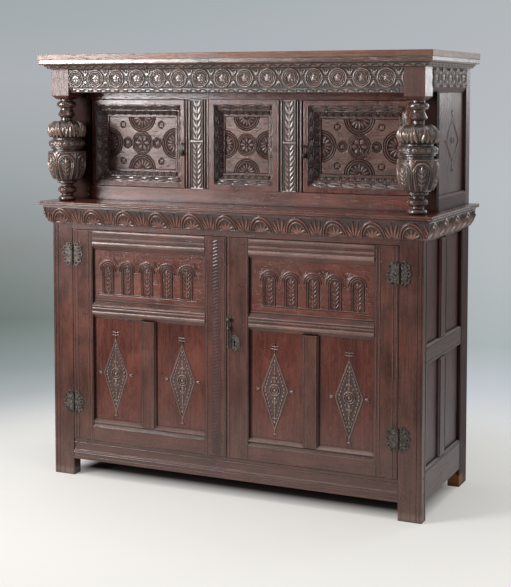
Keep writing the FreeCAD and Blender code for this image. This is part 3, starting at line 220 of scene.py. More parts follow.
def leaf(h, x, z, at, angle, long, half, tall, scoop=0.0, full=0.6):
    """Raise a leaf from its root at an angle from +x, scooped along its middle."""
    c, s = math.cos(angle), math.sin(angle)
    along = (x - at[0]) * c + (z - at[1]) * s
    across = -(x - at[0]) * s + (z - at[1]) * c
    t = np.clip(along / long, 0, 1)
    width = half * np.sin(math.pi * t ** full) + 1e-9
    body = np.clip(1 - (across / width) ** 2, 0, 1) * ((along > 0) & (along < long))
    value = SINK + (tall - SINK) * np.sqrt(body) - scoop * tall * body ** 2
    return np.maximum(h, value)


def shell(us, vs, heights, wrap):
    """A closed shell over the cells whose carving stands above its floor.

    wrap takes arrays u, v, height and gives the points.
    """
    high = heights > SINK + 1e-5
    cells = high[:-1, :-1] | high[1:, :-1] | high[:-1, 1:] | high[1:, 1:]
    rows, cols = heights.shape
    index = np.arange(rows * cols).reshape(rows, cols)
    top = np.stack([index[:-1, :-1][cells], index[:-1, 1:][cells], index[1:, 1:][cells],
                    index[1:, :-1][cells]], 1)
    count = rows * cols
    padded = np.pad(cells, 1)
    walls = []
    for other, a, b in (
            (padded[:-2, 1:-1], index[:-1, :-1], index[:-1, 1:]),
            (padded[2:, 1:-1], index[1:, 1:], index[1:, :-1]),
            (padded[1:-1, :-2], index[1:, :-1], index[:-1, :-1]),
            (padded[1:-1, 2:], index[:-1, 1:], index[1:, 1:])):
        edge = cells & ~other
        start, end = a[edge], b[edge]
        walls.append(np.stack([start, start + count, end + count, end], 1))
    quads = np.concatenate([top, top[:, ::-1] + count, *walls])
    u, v = np.meshgrid(us, vs)
    points = np.concatenate([wrap(u, v, heights).reshape(-1, 3),
                             wrap(u, v, np.full_like(heights, UNDER)).reshape(-1, 3)])
    tone = np.concatenate([heights.ravel(), np.full(count, UNDER)])
    used, compact = np.unique(quads, return_inverse=True)
    return points[used], compact.reshape(quads.shape), [], tone[used]


def tile(us, vs, heights, wrap):
    """A closed tile that is carved all over and has one plain face behind."""
    rows, cols = heights.shape
    index = np.arange(rows * cols).reshape(rows, cols)
    top = np.stack([index[:-1, :-1], index[:-1, 1:], index[1:, 1:], index[1:, :-1]], -1)
    rim = np.concatenate([index[0, :-1], index[:-1, -1], index[-1, :0:-1], index[:0:-1, 0]])
    back = rows * cols + np.arange(len(rim))
    walls = np.stack([rim, back, np.roll(back, -1), np.roll(rim, -1)], 1)
    u, v = np.meshgrid(us, vs)
    face = wrap(u, v, heights).reshape(-1, 3)
    base = wrap(u.ravel()[rim], v.ravel()[rim], np.full(len(rim), UNDER))
    tone = np.concatenate([heights.ravel(), np.full(len(rim), UNDER)])
    return (np.concatenate([face, base]), np.concatenate([top.reshape(-1, 4), walls]),
            [back[::-1]], tone)


def bead(across, half, rise, low, high, put, flat=False):
    """A closed run of a round bead, or of a flat one with eased edges."""
    sink = -0.001
    if flat:
        section = [(half, sink), (half, rise * 0.6), (half * 0.85, rise), (-half * 0.85, rise),
                   (-half, rise * 0.6), (-half, sink)]
    else:
        turns = [math.pi * k / 6 for k in range(7)]
        section = [(half, sink), *((half * math.cos(t), rise * math.sin(t)) for t in turns),
                   (-half, sink)]
    return strip([(across + a, out) for a, out in section], low, high, put)


def strip(section, low, high, put):
    """A closed run of one small section: put places (across, out, along)."""
    count = len(section)
    spots = [put(a, out, end) for end in (low, high) for a, out in section]
    points = np.array(spots, dtype=float)
    first = np.arange(count)
    after = np.roll(first, -1)
    quads = np.stack([first, after, after + count, first + count], 1)
    rings = [first[::-1], first + count]
    tone = np.array([out for _ in (low, high) for _, out in section])
    middle = points.mean(0)
    a, b, c, _ = (points[quads[:, k]] for k in range(4))
    outward = np.einsum("ij,ij->i", np.cross(b - a, c - a), a - middle).sum()
    if outward < 0:
        quads, rings = quads[:, ::-1], [r[::-1] for r in rings]
    return points, quads, rings, tone


def mirrored(part):
    """A part on the other side of the cupboard."""
    points, quads, rings, tone = part
    return (points * np.array([-1.0, 1.0, 1.0]), quads[:, ::-1], [r[::-1] for r in rings],
            tone)


def both(parts):
    """Parts of the left side, and the same on the right."""
    return parts + [mirrored(part) for part in parts]


def to_side(part):
    """Turn a part of the front run round to the right side of the cupboard."""
    points, quads, rings, tone = part
    turned = np.stack([HALF + FRONT - points[:, 1], points[:, 0], points[:, 2]], 1)
    return turned, quads, rings, tone


def mesh_of(name, parts, crease=62):
    """One mesh from parts, with their heights as the attribute 'carve'."""
    points = np.concatenate([p for p, _, _, _ in parts])
    tone = np.concatenate([t for _, _, _, t in parts])
    starts = np.cumsum([0] + [len(p) for p, _, _, _ in parts[:-1]])
    quads = np.concatenate([q + start for (_, q, _, _), start in zip(parts, starts)])
    rings = [ring_ + start for (_, _, rs, _), start in zip(parts, starts) for ring_ in rs]
    corners = np.concatenate([quads.ravel(), *rings]).astype(np.int32)
    sizes = np.array([4] * len(quads) + [len(r) for r in rings])
    firsts = np.concatenate([[0], np.cumsum(sizes)[:-1]]).astype(np.int32)
    mesh = bpy.data.meshes.new(name)
    mesh.vertices.add(len(points))
    mesh.vertices.foreach_set("co", points.astype(np.float32).ravel())
    mesh.loops.add(len(corners))
    mesh.loops.foreach_set("vertex_index", corners)
    mesh.polygons.add(len(sizes))
    mesh.polygons.foreach_set("loop_start", firsts)
    mesh.update(calc_edges=True)
    carve = mesh.attributes.new("carve", "FLOAT", "POINT")
    carve.data.foreach_set("value", (CARVE_ZERO + tone * 1000).astype(np.float32))
    mesh.shade_smooth()
    mesh.set_sharp_from_angle(angle=math.radians(crease))
    return mesh


def piece(name, mesh, finish, body):
    """A finished piece that rides on a body of the frame."""
    obj = bpy.data.objects.new(name, mesh)
    bpy.context.scene.collection.objects.link(obj)
    mesh.materials.clear()
    mesh.materials.append(finish)
    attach(obj, body)


def door_pair(level, label, mesh, finish, twin=None):
    """A piece on the left door and its twin, or else its mirror image, on the right door."""
    for side, made in (("left", mesh), ("right", twin or flipped(mesh))):
        body = f"{level}_door_{side}"
        piece(f"{body}_{label}", made, finish, body)


def on_front(cx, face, cz):
    """Wrap for a face that looks to -Y."""
    return lambda u, v, h: np.stack([cx + u, face - h, cz + v], -1)


def on_right(face, cy, cz):
    """Wrap for a face that looks to +X."""
    return lambda u, v, h: np.stack([face + h, cy + u, cz + v], -1)


# Geometry Nodes: what repeats

def new_tree(name, inputs):
    """An empty Geometry Nodes tree with named inputs."""
    tree = bpy.data.node_groups.new(name, "GeometryNodeTree")
    tree.interface.new_socket("Geometry", in_out="OUTPUT", socket_type="NodeSocketGeometry")
    tree.interface.new_socket("Geometry", in_out="INPUT", socket_type="NodeSocketGeometry")
    for label, kind in inputs:
        tree.interface.new_socket(label, in_out="INPUT", socket_type=kind)
    return tree


def link(tree, *pairs):
    """Join sockets, each pair from an output to an input."""
    for source, target in pairs:
        tree.links.new(source, target)


def row_tree():
    """Copies of a carved tile along a straight line, each turned by a step about Z."""
    tree = new_tree("Carved row", [
        ("Tile", "NodeSocketObject"), ("Count", "NodeSocketInt"),
        ("Start", "NodeSocketVector"), ("Step", "NodeSocketVector"),
        ("Turn", "NodeSocketFloat"), ("Finish", "NodeSocketMaterial")])
    add = tree.nodes.new
    given, out = add("NodeGroupInput"), add("NodeGroupOutput")
    line = add("GeometryNodeMeshLine")
    line.mode = "OFFSET"
    tile = add("GeometryNodeObjectInfo")
    place = add("GeometryNodeInstanceOnPoints")
    index = add("GeometryNodeInputIndex")
    turn = add("ShaderNodeMath")
    turn.operation = "MULTIPLY"
    spin = add("ShaderNodeCombineXYZ")
    real = add("GeometryNodeRealizeInstances")
    finish = add("GeometryNodeSetMaterial")
    link(tree,
         (given.outputs["Count"], line.inputs["Count"]),
         (given.outputs["Start"], line.inputs["Start Location"]),
         (given.outputs["Step"], line.inputs["Offset"]),
         (given.outputs["Tile"], tile.inputs["Object"]),
         (index.outputs[0], turn.inputs[0]),
         (given.outputs["Turn"], turn.inputs[1]),
         (turn.outputs[0], spin.inputs["Z"]),
         (line.outputs[0], place.inputs["Points"]),
         (tile.outputs["Geometry"], place.inputs["Instance"]),
         (spin.outputs[0], place.inputs["Rotation"]),
         (place.outputs[0], real.inputs[0]),
         (real.outputs[0], finish.inputs["Geometry"]),
         (given.outputs["Finish"], finish.inputs["Material"]),
         (finish.outputs[0], out.inputs[0]))
    return tree


def scatter_tree():
    """Copies of a small piece on points, each with a seeded turn and a seeded size."""
    turn_seed, size_seed = 7, 11
    tree = new_tree("Small pieces", [
        ("Tile", "NodeSocketObject"), ("Axis", "NodeSocketVector"),
        ("Turn", "NodeSocketFloat"), ("Size spread", "NodeSocketFloat"),
        ("Finish", "NodeSocketMaterial")])
    add = tree.nodes.new
    given, out = add("NodeGroupInput"), add("NodeGroupOutput")
    tile = add("GeometryNodeObjectInfo")
    place = add("GeometryNodeInstanceOnPoints")
    turn = add("FunctionNodeRandomValue")
    turn.inputs["Seed"].default_value = turn_seed
    turn.inputs["Min"].default_value = 0.0
    spin = add("ShaderNodeVectorMath")
    spin.operation = "SCALE"
    less = add("ShaderNodeMath")
    less.operation = "SUBTRACT"
    less.inputs[0].default_value = 1.0
    size = add("FunctionNodeRandomValue")
    size.inputs["Seed"].default_value = size_seed
    size.inputs["Max"].default_value = 1.0
    real = add("GeometryNodeRealizeInstances")
    finish = add("GeometryNodeSetMaterial")
    link(tree,
         (given.outputs["Tile"], tile.inputs["Object"]),
         (given.outputs["Turn"], turn.inputs["Max"]),
         (given.outputs["Axis"], spin.inputs[0]),
         (turn.outputs["Value"], spin.inputs["Scale"]),
         (given.outputs["Size spread"], less.inputs[1]),
         (less.outputs[0], size.inputs["Min"]),
         (given.outputs["Geometry"], place.inputs["Points"]),
         (tile.outputs["Geometry"], place.inputs["Instance"]),
         (spin.outputs[0], place.inputs["Rotation"]),
         (size.outputs["Value"], place.inputs["Scale"]),
         (place.outputs[0], real.inputs[0]),
         (real.outputs[0], finish.inputs["Geometry"]),
         (given.outputs["Finish"], finish.inputs["Material"]),
         (finish.outputs[0], out.inputs[0]))
    return tree


def grown(name, tree, base, values):
    """The plain mesh that a tree makes from a base mesh and its inputs."""
    holder = bpy.data.objects.new(name + "_maker", base)
    bpy.context.scene.collection.objects.link(holder)
    modifier = holder.modifiers.new("Repeat", "NODES")
    modifier.node_group = tree
    sockets = {item.name: item.identifier for item in tree.interface.items_tree
               if item.item_type == "SOCKET" and item.in_out == "INPUT"}
    for label, value in values.items():
        modifier[sockets[label]] = value
    bpy.context.view_layer.update()
    made = holder.evaluated_get(bpy.context.evaluated_depsgraph_get())
    mesh = bpy.data.meshes.new_from_object(made)
    mesh.name = name
    holder.modifiers.clear()
    bpy.data.objects.remove(holder)
    return mesh


def tile_object(parts):
    """What a tree repeats: a mesh, or the mesh of some parts, as an object."""
    mesh = parts if isinstance(parts, bpy.types.Mesh) else mesh_of("tile", parts)
    obj = bpy.data.objects.new("tile", mesh)
    bpy.context.scene.collection.objects.link(obj)
    return obj


def row(name, parts, count, start, step, finish, turn=0.0):
    """A mesh of repeated parts along a line, or round Z where the step is nought."""
    tile = tile_object(parts)
    mesh = grown(name, TREES["row"], bpy.data.meshes.new(name + "_base"), {
        "Tile": tile, "Count": count, "Start": start, "Step": step, "Turn": turn,
        "Finish": finish})
    bpy.data.objects.remove(tile)
    return mesh


def scatter(name, parts, spots, axis, finish):
    """A mesh of small pieces on spots, turned at random and up to 15 % smaller."""
    turn, spread = 6.283, 0.15
    base = bpy.data.meshes.new(name + "_base")
    base.from_pydata(spots, [], [])
    tile = tile_object(parts)
    mesh = grown(name, TREES["scatter"], base, {
        "Tile": tile, "Axis": axis, "Turn": turn, "Size spread": spread, "Finish": finish})
    bpy.data.objects.remove(tile)
    return mesh


def merged(name, meshes):
    """Several meshes as one."""
    form = bmesh.new()
    for mesh in meshes:
        form.from_mesh(mesh)
    result = bpy.data.meshes.new(name)
    form.to_mesh(result)
    form.free()
    result.shade_smooth()
    return result


def flipped(mesh):
    """The mirror image of a mesh across the middle of the cupboard."""
    copy = mesh.copy()
    copy.transform(Matrix.Scale(-1, 4, Vector((1, 0, 0))))
    copy.flip_normals()
    return copy


# Shader nodes that recur

def link_or_set(tree, socket, value):
    """Give a socket a number, a colour or what another socket puts out."""
    if isinstance(value, (int, float, tuple)):
        socket.default_value = value
    else:
        link(tree, (value, socket))


def levels_node(tree, value, low, high, to_low=0.0, to_high=1.0):
    """Map one span of a value to another and hold it there."""
    node = tree.nodes.new("ShaderNodeMapRange")
    node.inputs["From Min"].default_value = low
    node.inputs["From Max"].default_value = high
    node.inputs["To Min"].default_value = to_low
    node.inputs["To Max"].default_value = to_high
    link(tree, (value, node.inputs["Value"]))
    return node.outputs["Result"]


def blend_node(tree, kind, factor, base, top):
    """Lay one colour over another."""
    node = tree.nodes.new("ShaderNodeMix")
    node.data_type = "RGBA"
    node.blend_type = kind
    link_or_set(tree, node.inputs["Factor"], factor)
    link_or_set(tree, node.inputs[6], base)
    link_or_set(tree, node.inputs[7], top)
    return node.outputs[2]


def maths_node(tree, kind, first, second=0.0):
    """Reckon with one value or two."""
    node = tree.nodes.new("ShaderNodeMath")
    node.operation = kind
    for socket, value in zip(node.inputs, (first, second)):
        link_or_set(tree, socket, value)
    return node.outputs[0]


def node_makers(tree):
    """Levels, blend and maths for one tree."""
    return [partial(make, tree) for make in (levels_node, blend_node, maths_node)]


def seen_by(tree, *rays):
    """1 where a ray of one of these kinds arrives, otherwise 0."""
    path = tree.nodes.new("ShaderNodeLightPath")
    seen = path.outputs[rays[0]]
    for ray in rays[1:]:
        seen = maths_node(tree, "MAXIMUM", seen, path.outputs[ray])
    return seen


# Finishes

# Colours that all the oak finishes share
BLEACHED_FOOT = (0.26, 0.20, 0.16, 1)
TORN_WOOD = (0.42, 0.17, 0.07, 1)
PORE = (0.25, 0.20, 0.18, 1)
STREAK = (0.22, 0.17, 0.16, 1)
SPECK = (0.45, 0.42, 0.42, 1)
# Dirt and painted shade in the hollows of carving
HOLLOW_DIRT_AND_SHADE = (0.055, 0.040, 0.040, 1)
# Painted shade in corners and creases
PAINTED_SHADE_TINT = (0.12, 0.09, 0.09, 1)
OTHER_BOARD = (0.42, 0.36, 0.32, 1)
SEAM = (0.006, 0.004, 0.003, 1)
# Rounding that the shading gives to plain edges and to carved ones
PLAIN_EDGE, CARVED_EDGE = 0.0028, 0.0005
# How far from a corner the painted shade reaches
PAINTED_SHADE_REACH = 0.020


def wood(name, colours, grain, gloss=0.26, coat=0.45, wear=1.0, rough=1.0, tops_wear_and_highlight_share=0.35,
         sunk_dirt_and_shade_share=0.75, index=1.46, broken=False, dust_and_sheen=(0.090, 0.056, 0.049),
         dust_and_sheen_top=0.60, board=0.0):
    """Old oak: stretched fibres, open pores, patches, dirt and painted shade in the hollows
    and corners, and tops and edges made pale by wear and painted highlight.
    """
    dark, mid, worn_and_highlight, red = ((*colour, 1) for colour in colours)
    mat = bpy.data.materials.new(name)
    mat.use_nodes = True
    tree = mat.node_tree
    tree.nodes.clear()
    add = tree.nodes.new
    levels, blend, maths = node_makers(tree)
    out = add("ShaderNodeOutputMaterial")
    shader = add("ShaderNodeBsdfPrincipled")
    shader.inputs["Coat Weight"].default_value = coat
    shader.inputs["Coat Roughness"].default_value = 0.10
    shader.inputs["IOR"].default_value = index
    coord = add("ShaderNodeTexCoord")
    axis = "XYZ".index(grain)

    def stretched(along, across, detail, roughness=0.6, distortion=0.0, shift=0.0):
        """Noise that is drawn out along the grain."""
        place = add("ShaderNodeMapping")
        scale = [across] * 3
        scale[axis] = along
        place.inputs["Scale"].default_value = scale
        place.inputs["Location"].default_value = (shift, shift * 0.7, shift * 1.3)
        noise = add("ShaderNodeTexNoise")
        noise.inputs["Scale"].default_value = 1.0
        noise.inputs["Detail"].default_value = detail
        noise.inputs["Roughness"].default_value = roughness
        noise.inputs["Distortion"].default_value = distortion
        link(tree, (coord.outputs["Object"], place.inputs["Vector"]),
             (place.outputs[0], noise.inputs["Vector"]))
        return noise.outputs["Fac"]

    fibres = stretched(6, 120, 6, 0.70, 0.5)
    figure = stretched(1.5, 15, 3, 0.55, 1.2)
    pores = stretched(34, 780, 2, 0.5)
    patches = stretched(3.1, 5.3, 4, 0.6, 0.4)
    blots = stretched(7.0, 10.0, 4, 0.65, 0.3, 4.0)
    strands = maths("ADD", maths("MULTIPLY", fibres, 0.7), maths("MULTIPLY", figure, 0.3))
    colour = blend("MIX", levels(strands, 0.36, 0.60), dark, mid)
    colour = blend("MIX", levels(blots, 0.46, 0.68, 0.0, 0.65 * wear), colour, red)
    colour = blend("MIX", levels(patches, 0.50, 0.74, 0.0, 0.24 * wear), colour, worn_and_highlight)

    # Tops of the carving and the edges of plain wood are made pale: partly rubbed wear, partly
    # painted highlight
    carve = add("ShaderNodeAttribute")
    carve.attribute_name = "carve"
    height = carve.outputs["Fac"]
    pale_tops_wear_and_highlight = maths("MULTIPLY", levels(height, CARVE_ZERO + 1.1, CARVE_ZERO + 2.9),
                 levels(blots, 0.32, 0.62, 0.45, 1.0))
    colour = blend("MIX", maths("MULTIPLY", pale_tops_wear_and_highlight, tops_wear_and_highlight_share * wear), colour, worn_and_highlight)
    carved = maths("GREATER_THAN", height, CARVE_ZERO / 2)
    bevel = add("ShaderNodeBevel")
    bevel.samples = 4
    link(tree, (levels(carved, 0.0, 1.0, PLAIN_EDGE, CARVED_EDGE), bevel.inputs["Radius"]))
    plain = add("ShaderNodeNewGeometry")
    turn = add("ShaderNodeVectorMath")
    turn.operation = "DOT_PRODUCT"
    link(tree, (bevel.outputs[0], turn.inputs[0]), (plain.outputs["Normal"], turn.inputs[1]))
    # Pale edges: partly rubbed wear, partly painted highlight along the arrises
    edges = maths("MULTIPLY", levels(turn.outputs["Value"], 0.985, 0.86),
                  levels(blots, 0.40, 0.60, 0.15, 0.75))
    colour = blend("MIX", maths("MULTIPLY", edges, 0.6 * wear), colour, worn_and_highlight)

    # Dust lies thicker towards the floor, and the feet are bleached; on the sides the low
    # bluish grey is painted reflection of the floor, not dust
    place = add("ShaderNodeSeparateXYZ")
    link(tree, (coord.outputs["Object"], place.inputs[0]))
    level = place.outputs["Z"]
    dust_and_sheen_mask = maths("MULTIPLY", levels(level, dust_and_sheen_top, dust_and_sheen_top - 0.50),
                  levels(blots, 0.36, 0.66, 0.45, 0.9))
    colour = blend("MIX", maths("MULTIPLY", dust_and_sheen_mask, 0.55), colour, (*dust_and_sheen, 1))
    bleached = maths("MULTIPLY", levels(level, 0.035, 0.006),
                     levels(fibres, 0.35, 0.6, 0.2, 0.8))
    colour = blend("MIX", bleached, colour, BLEACHED_FOOT)
    if broken:
        low_end = maths("ADD", level, maths("MULTIPLY", blots, 0.05))
        torn = maths("MULTIPLY", levels(low_end, 0.075, 0.062),
                     levels(place.outputs["Y"], 0.262, 0.235))
        torn = maths("MULTIPLY", torn, levels(place.outputs["X"], 0.60, 0.62))
        colour = blend("MIX", torn, colour, TORN_WOOD)

    # Pores, dark streaks and specks; dirt and painted shade in the carving's hollows, and
    # painted shade in corners
    pore_dark = levels(pores, 0.60, 0.70, 0.0, 0.6 * rough)
    colour = blend("MULTIPLY", pore_dark, colour, PORE)
    streaks = levels(stretched(4.0, 210, 5, 0.75, 0.3, 9.0), 0.54, 0.66, 0.0, 0.6 * rough)
    colour = blend("MULTIPLY", streaks, colour, STREAK)
    specks = stretched(170, 330, 3, 0.7, 0.0, 2.0)
    colour = blend("MULTIPLY", levels(specks, 0.46, 0.62, 0.0, 0.45 * rough), colour, SPECK)
    colour = blend("MIX", levels(specks, 0.42, 0.30, 0.0, 0.30 * wear), colour, worn_and_highlight)
    # Low carving is darkened: dirt in its hollows and painted shade
    sunk_dirt_and_shade = levels(height, CARVE_ZERO + 0.1, CARVE_ZERO + 1.5, sunk_dirt_and_shade_share, 0.0)
    sunk_dirt_and_shade = maths("MULTIPLY", sunk_dirt_and_shade, carved)
    colour = blend("MULTIPLY", sunk_dirt_and_shade, colour, HOLLOW_DIRT_AND_SHADE)
    # Ambient occlusion darkens corners and creases: painted shade
    shade = add("ShaderNodeAmbientOcclusion")
    shade.samples = 6
    shade.inputs["Distance"].default_value = PAINTED_SHADE_REACH
    painted_shade = levels(shade.outputs["AO"], 0.35, 0.94, 0.95, 0.0)
    colour = blend("MULTIPLY", painted_shade, colour, PAINTED_SHADE_TINT)

    # Boards of one width side by side, each with its own tone
    if board:
        spot = maths("ADD", maths("DIVIDE", place.outputs["X"], board), 0.5)
        own = add("ShaderNodeTexWhiteNoise")
        own.noise_dimensions = "1D"
        link(tree, (maths("FLOOR", spot), own.inputs["W"]))
        colour = blend("MULTIPLY", levels(own.outputs["Value"], 0.0, 1.0, 0.0, 0.6), colour,
                       OTHER_BOARD)
        seam = maths("ABSOLUTE", maths("SUBTRACT", maths("FRACT", spot), 0.5))
        colour = blend("MIX", levels(seam, 0.492, 0.496), colour, SEAM)

    # Wax shines in patches, and hollows, corners under painted shade and streaks are dull
    uneven = maths("ADD", maths("MULTIPLY", patches, 0.5), maths("MULTIPLY", blots, 0.5))
    shine = levels(uneven, 0.35, 0.65, gloss - 0.07, gloss + 0.12)
    dull = maths("ADD", maths("MULTIPLY", sunk_dirt_and_shade, 0.50), maths("MULTIPLY", painted_shade, 0.30))
    shine = maths("ADD", maths("ADD", shine, dull), maths("MULTIPLY", streaks, 0.20))
    low = add("ShaderNodeBump")
    low.inputs["Distance"].default_value = 0.0022
    low.inputs["Strength"].default_value = 0.35
    fine = add("ShaderNodeBump")
    fine.inputs["Distance"].default_value = 0.0007
    fine.inputs["Strength"].default_value = 0.6 * rough
    relief = maths("SUBTRACT", maths("ADD", strands, maths("MULTIPLY", specks, 0.8)),
                   maths("MULTIPLY", pore_dark, 0.8))
    link(tree, (bevel.outputs[0], low.inputs["Normal"]), (blots, low.inputs["Height"]),
         (relief, fine.inputs["Height"]), (low.outputs[0], fine.inputs["Normal"]),
         (fine.outputs[0], shader.inputs["Normal"]),
         (fine.outputs[0], shader.inputs["Coat Normal"]),
         (colour, shader.inputs["Base Color"]), (shine, shader.inputs["Roughness"]),
         (shader.outputs[0], out.inputs["Surface"]))
    return mat


def iron(name, colour, bright, shine):
    """Hammered iron, dark with paler rubbed spots."""
    mat = bpy.data.materials.new(name)
    mat.use_nodes = True
    tree = mat.node_tree
    shader = tree.nodes["Principled BSDF"]
    shader.inputs["Metallic"].default_value = 0.7
    add = tree.nodes.new
    coord = add("ShaderNodeTexCoord")
    noise = add("ShaderNodeTexNoise")
    noise.inputs["Scale"].default_value = 160
    noise.inputs["Detail"].default_value = 5
    tones = add("ShaderNodeValToRGB")
    tones.color_ramp.elements[0].position = 0.35
    tones.color_ramp.elements[0].color = (*colour, 1)
    tones.color_ramp.elements[1].position = 0.72
    tones.color_ramp.elements[1].color = (*bright, 1)
    rough = levels_node(tree, noise.outputs["Fac"], 0.0, 1.0, shine, shine + 0.26)
    bevel = add("ShaderNodeBevel")
    bevel.samples = 4
    bevel.inputs["Radius"].default_value = 0.0012
    bump = add("ShaderNodeBump")
    bump.inputs["Distance"].default_value = 0.0014
    bump.inputs["Strength"].default_value = 0.9
    link(tree, (coord.outputs["Object"], noise.inputs["Vector"]),
         (noise.outputs["Fac"], tones.inputs["Fac"]),
         (tones.outputs["Color"], shader.inputs["Base Color"]),
         (rough, shader.inputs["Roughness"]),
         (bevel.outputs[0], bump.inputs["Normal"]),
         (noise.outputs["Fac"], bump.inputs["Height"]),
         (bump.outputs[0], shader.inputs["Normal"]))
    return mat


# The joined pieces that a finish goes to; any other oak piece takes frontZ
NODES_OF_FINISH = {
    "frontX": ("ledge_board", "upper_front_rails", "lower_door_left_arcade_panel",
               "lower_door_right_arcade_panel"),
    "frameX": ("lower_top_rail", "lower_bottom_rail", "lower_door_left_rails",
               "lower_door_right_rails"),
    "frameZ": ("front_leg_left", "front_leg_right", "lower_door_left_stiles",
               "lower_door_right_stiles", "lower_door_left_muntin",
               "lower_door_right_muntin"),
    "carvedX": ("front_frieze", "cornice_mouldings"),
    "sideY": ("lower_side_rails_left", "lower_side_rails_right", "upper_side_rails",
              "side_friezes"),
    "sideZ": ("lower_side_muntins", "lower_side_panels"),
    "drawn": ("upper_side_panels", "upper_back_posts"),
    "field": ("upper_door_left_panel", "upper_door_right_panel", "middle_panel"),
    # The stiles beside the columns take a near-black oak: painted shadow of the columns
    "recess": ("upper_front_stile_left", "upper_front_stile_right"),
    "block": ("columns",),
    "ledge": ("ledge_mouldings",),
    "top": ("cornice_board",),
    "foot": ("back_leg_left", "back_leg_right"),
    "inside": ("lower_back_rails", "lower_floor_boards", "lower_shelf"),
}
# Nodes of upright back boards, with the width of one board
BACK_BOARDS = {"lower_back_boards": 0.282, "upper_back_boards": 0.2784}
IRON_WORDS = ("hinge", "lock_", "drop_handle", "_pull", "_staple")


def toned(colour, share):
    """A darker tone of a colour."""
    return tuple(c * share for c in colour)


def oak_finishes(look):
    """Key, material name, grains, the dark, main, worn and warm colours, and the rest."""
    dark, mid, worn_and_highlight, red, carved, side, top, inside = (tuple(colour) for colour in (
        look.oak_dark, look.oak_mid, look.oak_worn_and_highlight, look.oak_red, look.carved_mid,
        look.oak_side, look.oak_top, look.oak_inside))
    dry = (toned(inside, 0.45), inside, (0.26, 0.19, 0.13), (0.17, 0.10, 0.06))
    unwaxed = dict(gloss=0.66, coat=0.0, wear=0.5)
    return (
        ("front", "Waxed oak", "XZ", (dark, mid, worn_and_highlight, red), {}),
        ("carved", "Carved oak", "XZ",
         (toned(carved, 0.35), carved, tuple(look.carved_worn_and_highlight), (0.24, 0.12, 0.085)),
         dict(gloss=0.18, coat=0.35, tops_wear_and_highlight_share=0.70, sunk_dirt_and_shade_share=0.97, index=1.85)),
        ("column", "Column oak", "Z",
         ((0.045, 0.020, 0.014), (0.140, 0.058, 0.041), (0.42, 0.28, 0.21),
          (0.21, 0.080, 0.054)),
         dict(gloss=0.14, coat=0.6, tops_wear_and_highlight_share=0.55, sunk_dirt_and_shade_share=0.95, index=1.85)),
        ("border", "Border oak", "X",
         ((0.030, 0.013, 0.010), (0.095, 0.040, 0.030), (0.38, 0.26, 0.21),
          (0.16, 0.055, 0.038)),
         dict(gloss=0.16, coat=0.5, tops_wear_and_highlight_share=0.45, sunk_dirt_and_shade_share=0.95, index=1.9)),
        ("moulding", "Moulding oak", "X",
         ((0.050, 0.018, 0.013), (0.165, 0.066, 0.050), (0.40, 0.27, 0.22),
          (0.24, 0.085, 0.060)), dict(gloss=0.36, coat=0.25, index=1.5)),
        ("block", "Block oak", "Z",
         ((0.055, 0.018, 0.013), (0.135, 0.043, 0.032), (0.24, 0.12, 0.09),
          (0.19, 0.055, 0.036)), dict(gloss=0.40, coat=0.2)),
        ("ledge", "Ledge oak", "X",
         (dark, (0.225, 0.064, 0.044), (0.38, 0.18, 0.13), red),
         dict(gloss=0.17, coat=0.40, tops_wear_and_highlight_share=0.50, sunk_dirt_and_shade_share=0.92, index=1.62)),
        ("field", "Field oak", "X",
         ((0.038, 0.014, 0.010), (0.128, 0.044, 0.032), (0.38, 0.25, 0.20),
          (0.20, 0.052, 0.034)),
         dict(gloss=0.25, coat=0.25, rough=1.5, tops_wear_and_highlight_share=0.30, sunk_dirt_and_shade_share=0.97,
              index=1.42)),
        # Near-black copy of the front oak: painted shadow of the columns on the stiles
        ("recess", "Painted shadow oak", "Z",
         (toned(dark, 0.3), toned(mid, 0.16), toned(worn_and_highlight, 0.25), toned(red, 0.15)),
         dict(gloss=0.52, coat=0.0, index=1.2)),
        ("frame", "Frame oak", "XZ",
         ((0.040, 0.013, 0.009), (0.118, 0.040, 0.028), worn_and_highlight, (0.19, 0.052, 0.030)),
         dict(gloss=0.30, coat=0.4)),
        ("side", "Side oak", "YZ",
         (toned(side, 0.40), side, (0.24, 0.175, 0.16), (0.16, 0.042, 0.029)),
         # The sides' bluish grey low tint is painted reflection of the pale floor
         dict(gloss=0.42, coat=0.2, index=1.35, dust_and_sheen=(0.27, 0.245, 0.26), dust_and_sheen_top=0.80)),
        ("drawn", "Side carving oak", "Z",
         (toned(side, 0.6), side, (0.46, 0.35, 0.31), (0.17, 0.046, 0.032)),
         dict(gloss=0.27, coat=0.3, tops_wear_and_highlight_share=1.0, sunk_dirt_and_shade_share=0.2, index=1.6)),
        ("foot", "Back leg oak", "Z",
         (toned(side, 0.30), toned(side, 0.65), (0.15, 0.11, 0.10), (0.09, 0.035, 0.026)),
         dict(gloss=0.55, coat=0.0, wear=0.8, index=1.3, broken=True)),
        ("top", "Top board oak", "X",
         (toned(top, 0.4), top, (0.42, 0.24, 0.16), (0.32, 0.10, 0.04)),
         dict(gloss=0.42, coat=0.35)),
        ("lozenge", "Lozenge oak", "Z", (dark, mid, (0.42, 0.28, 0.22), red),
         dict(gloss=0.22, coat=0.4, tops_wear_and_highlight_share=0.70, sunk_dirt_and_shade_share=0.55, index=1.6)),
        ("inside", "Dry oak", "X", dry, unwaxed),
        *((node, "Oak of " + node, "Z", dry, dict(unwaxed, board=width))
          for node, width in BACK_BOARDS.items()))


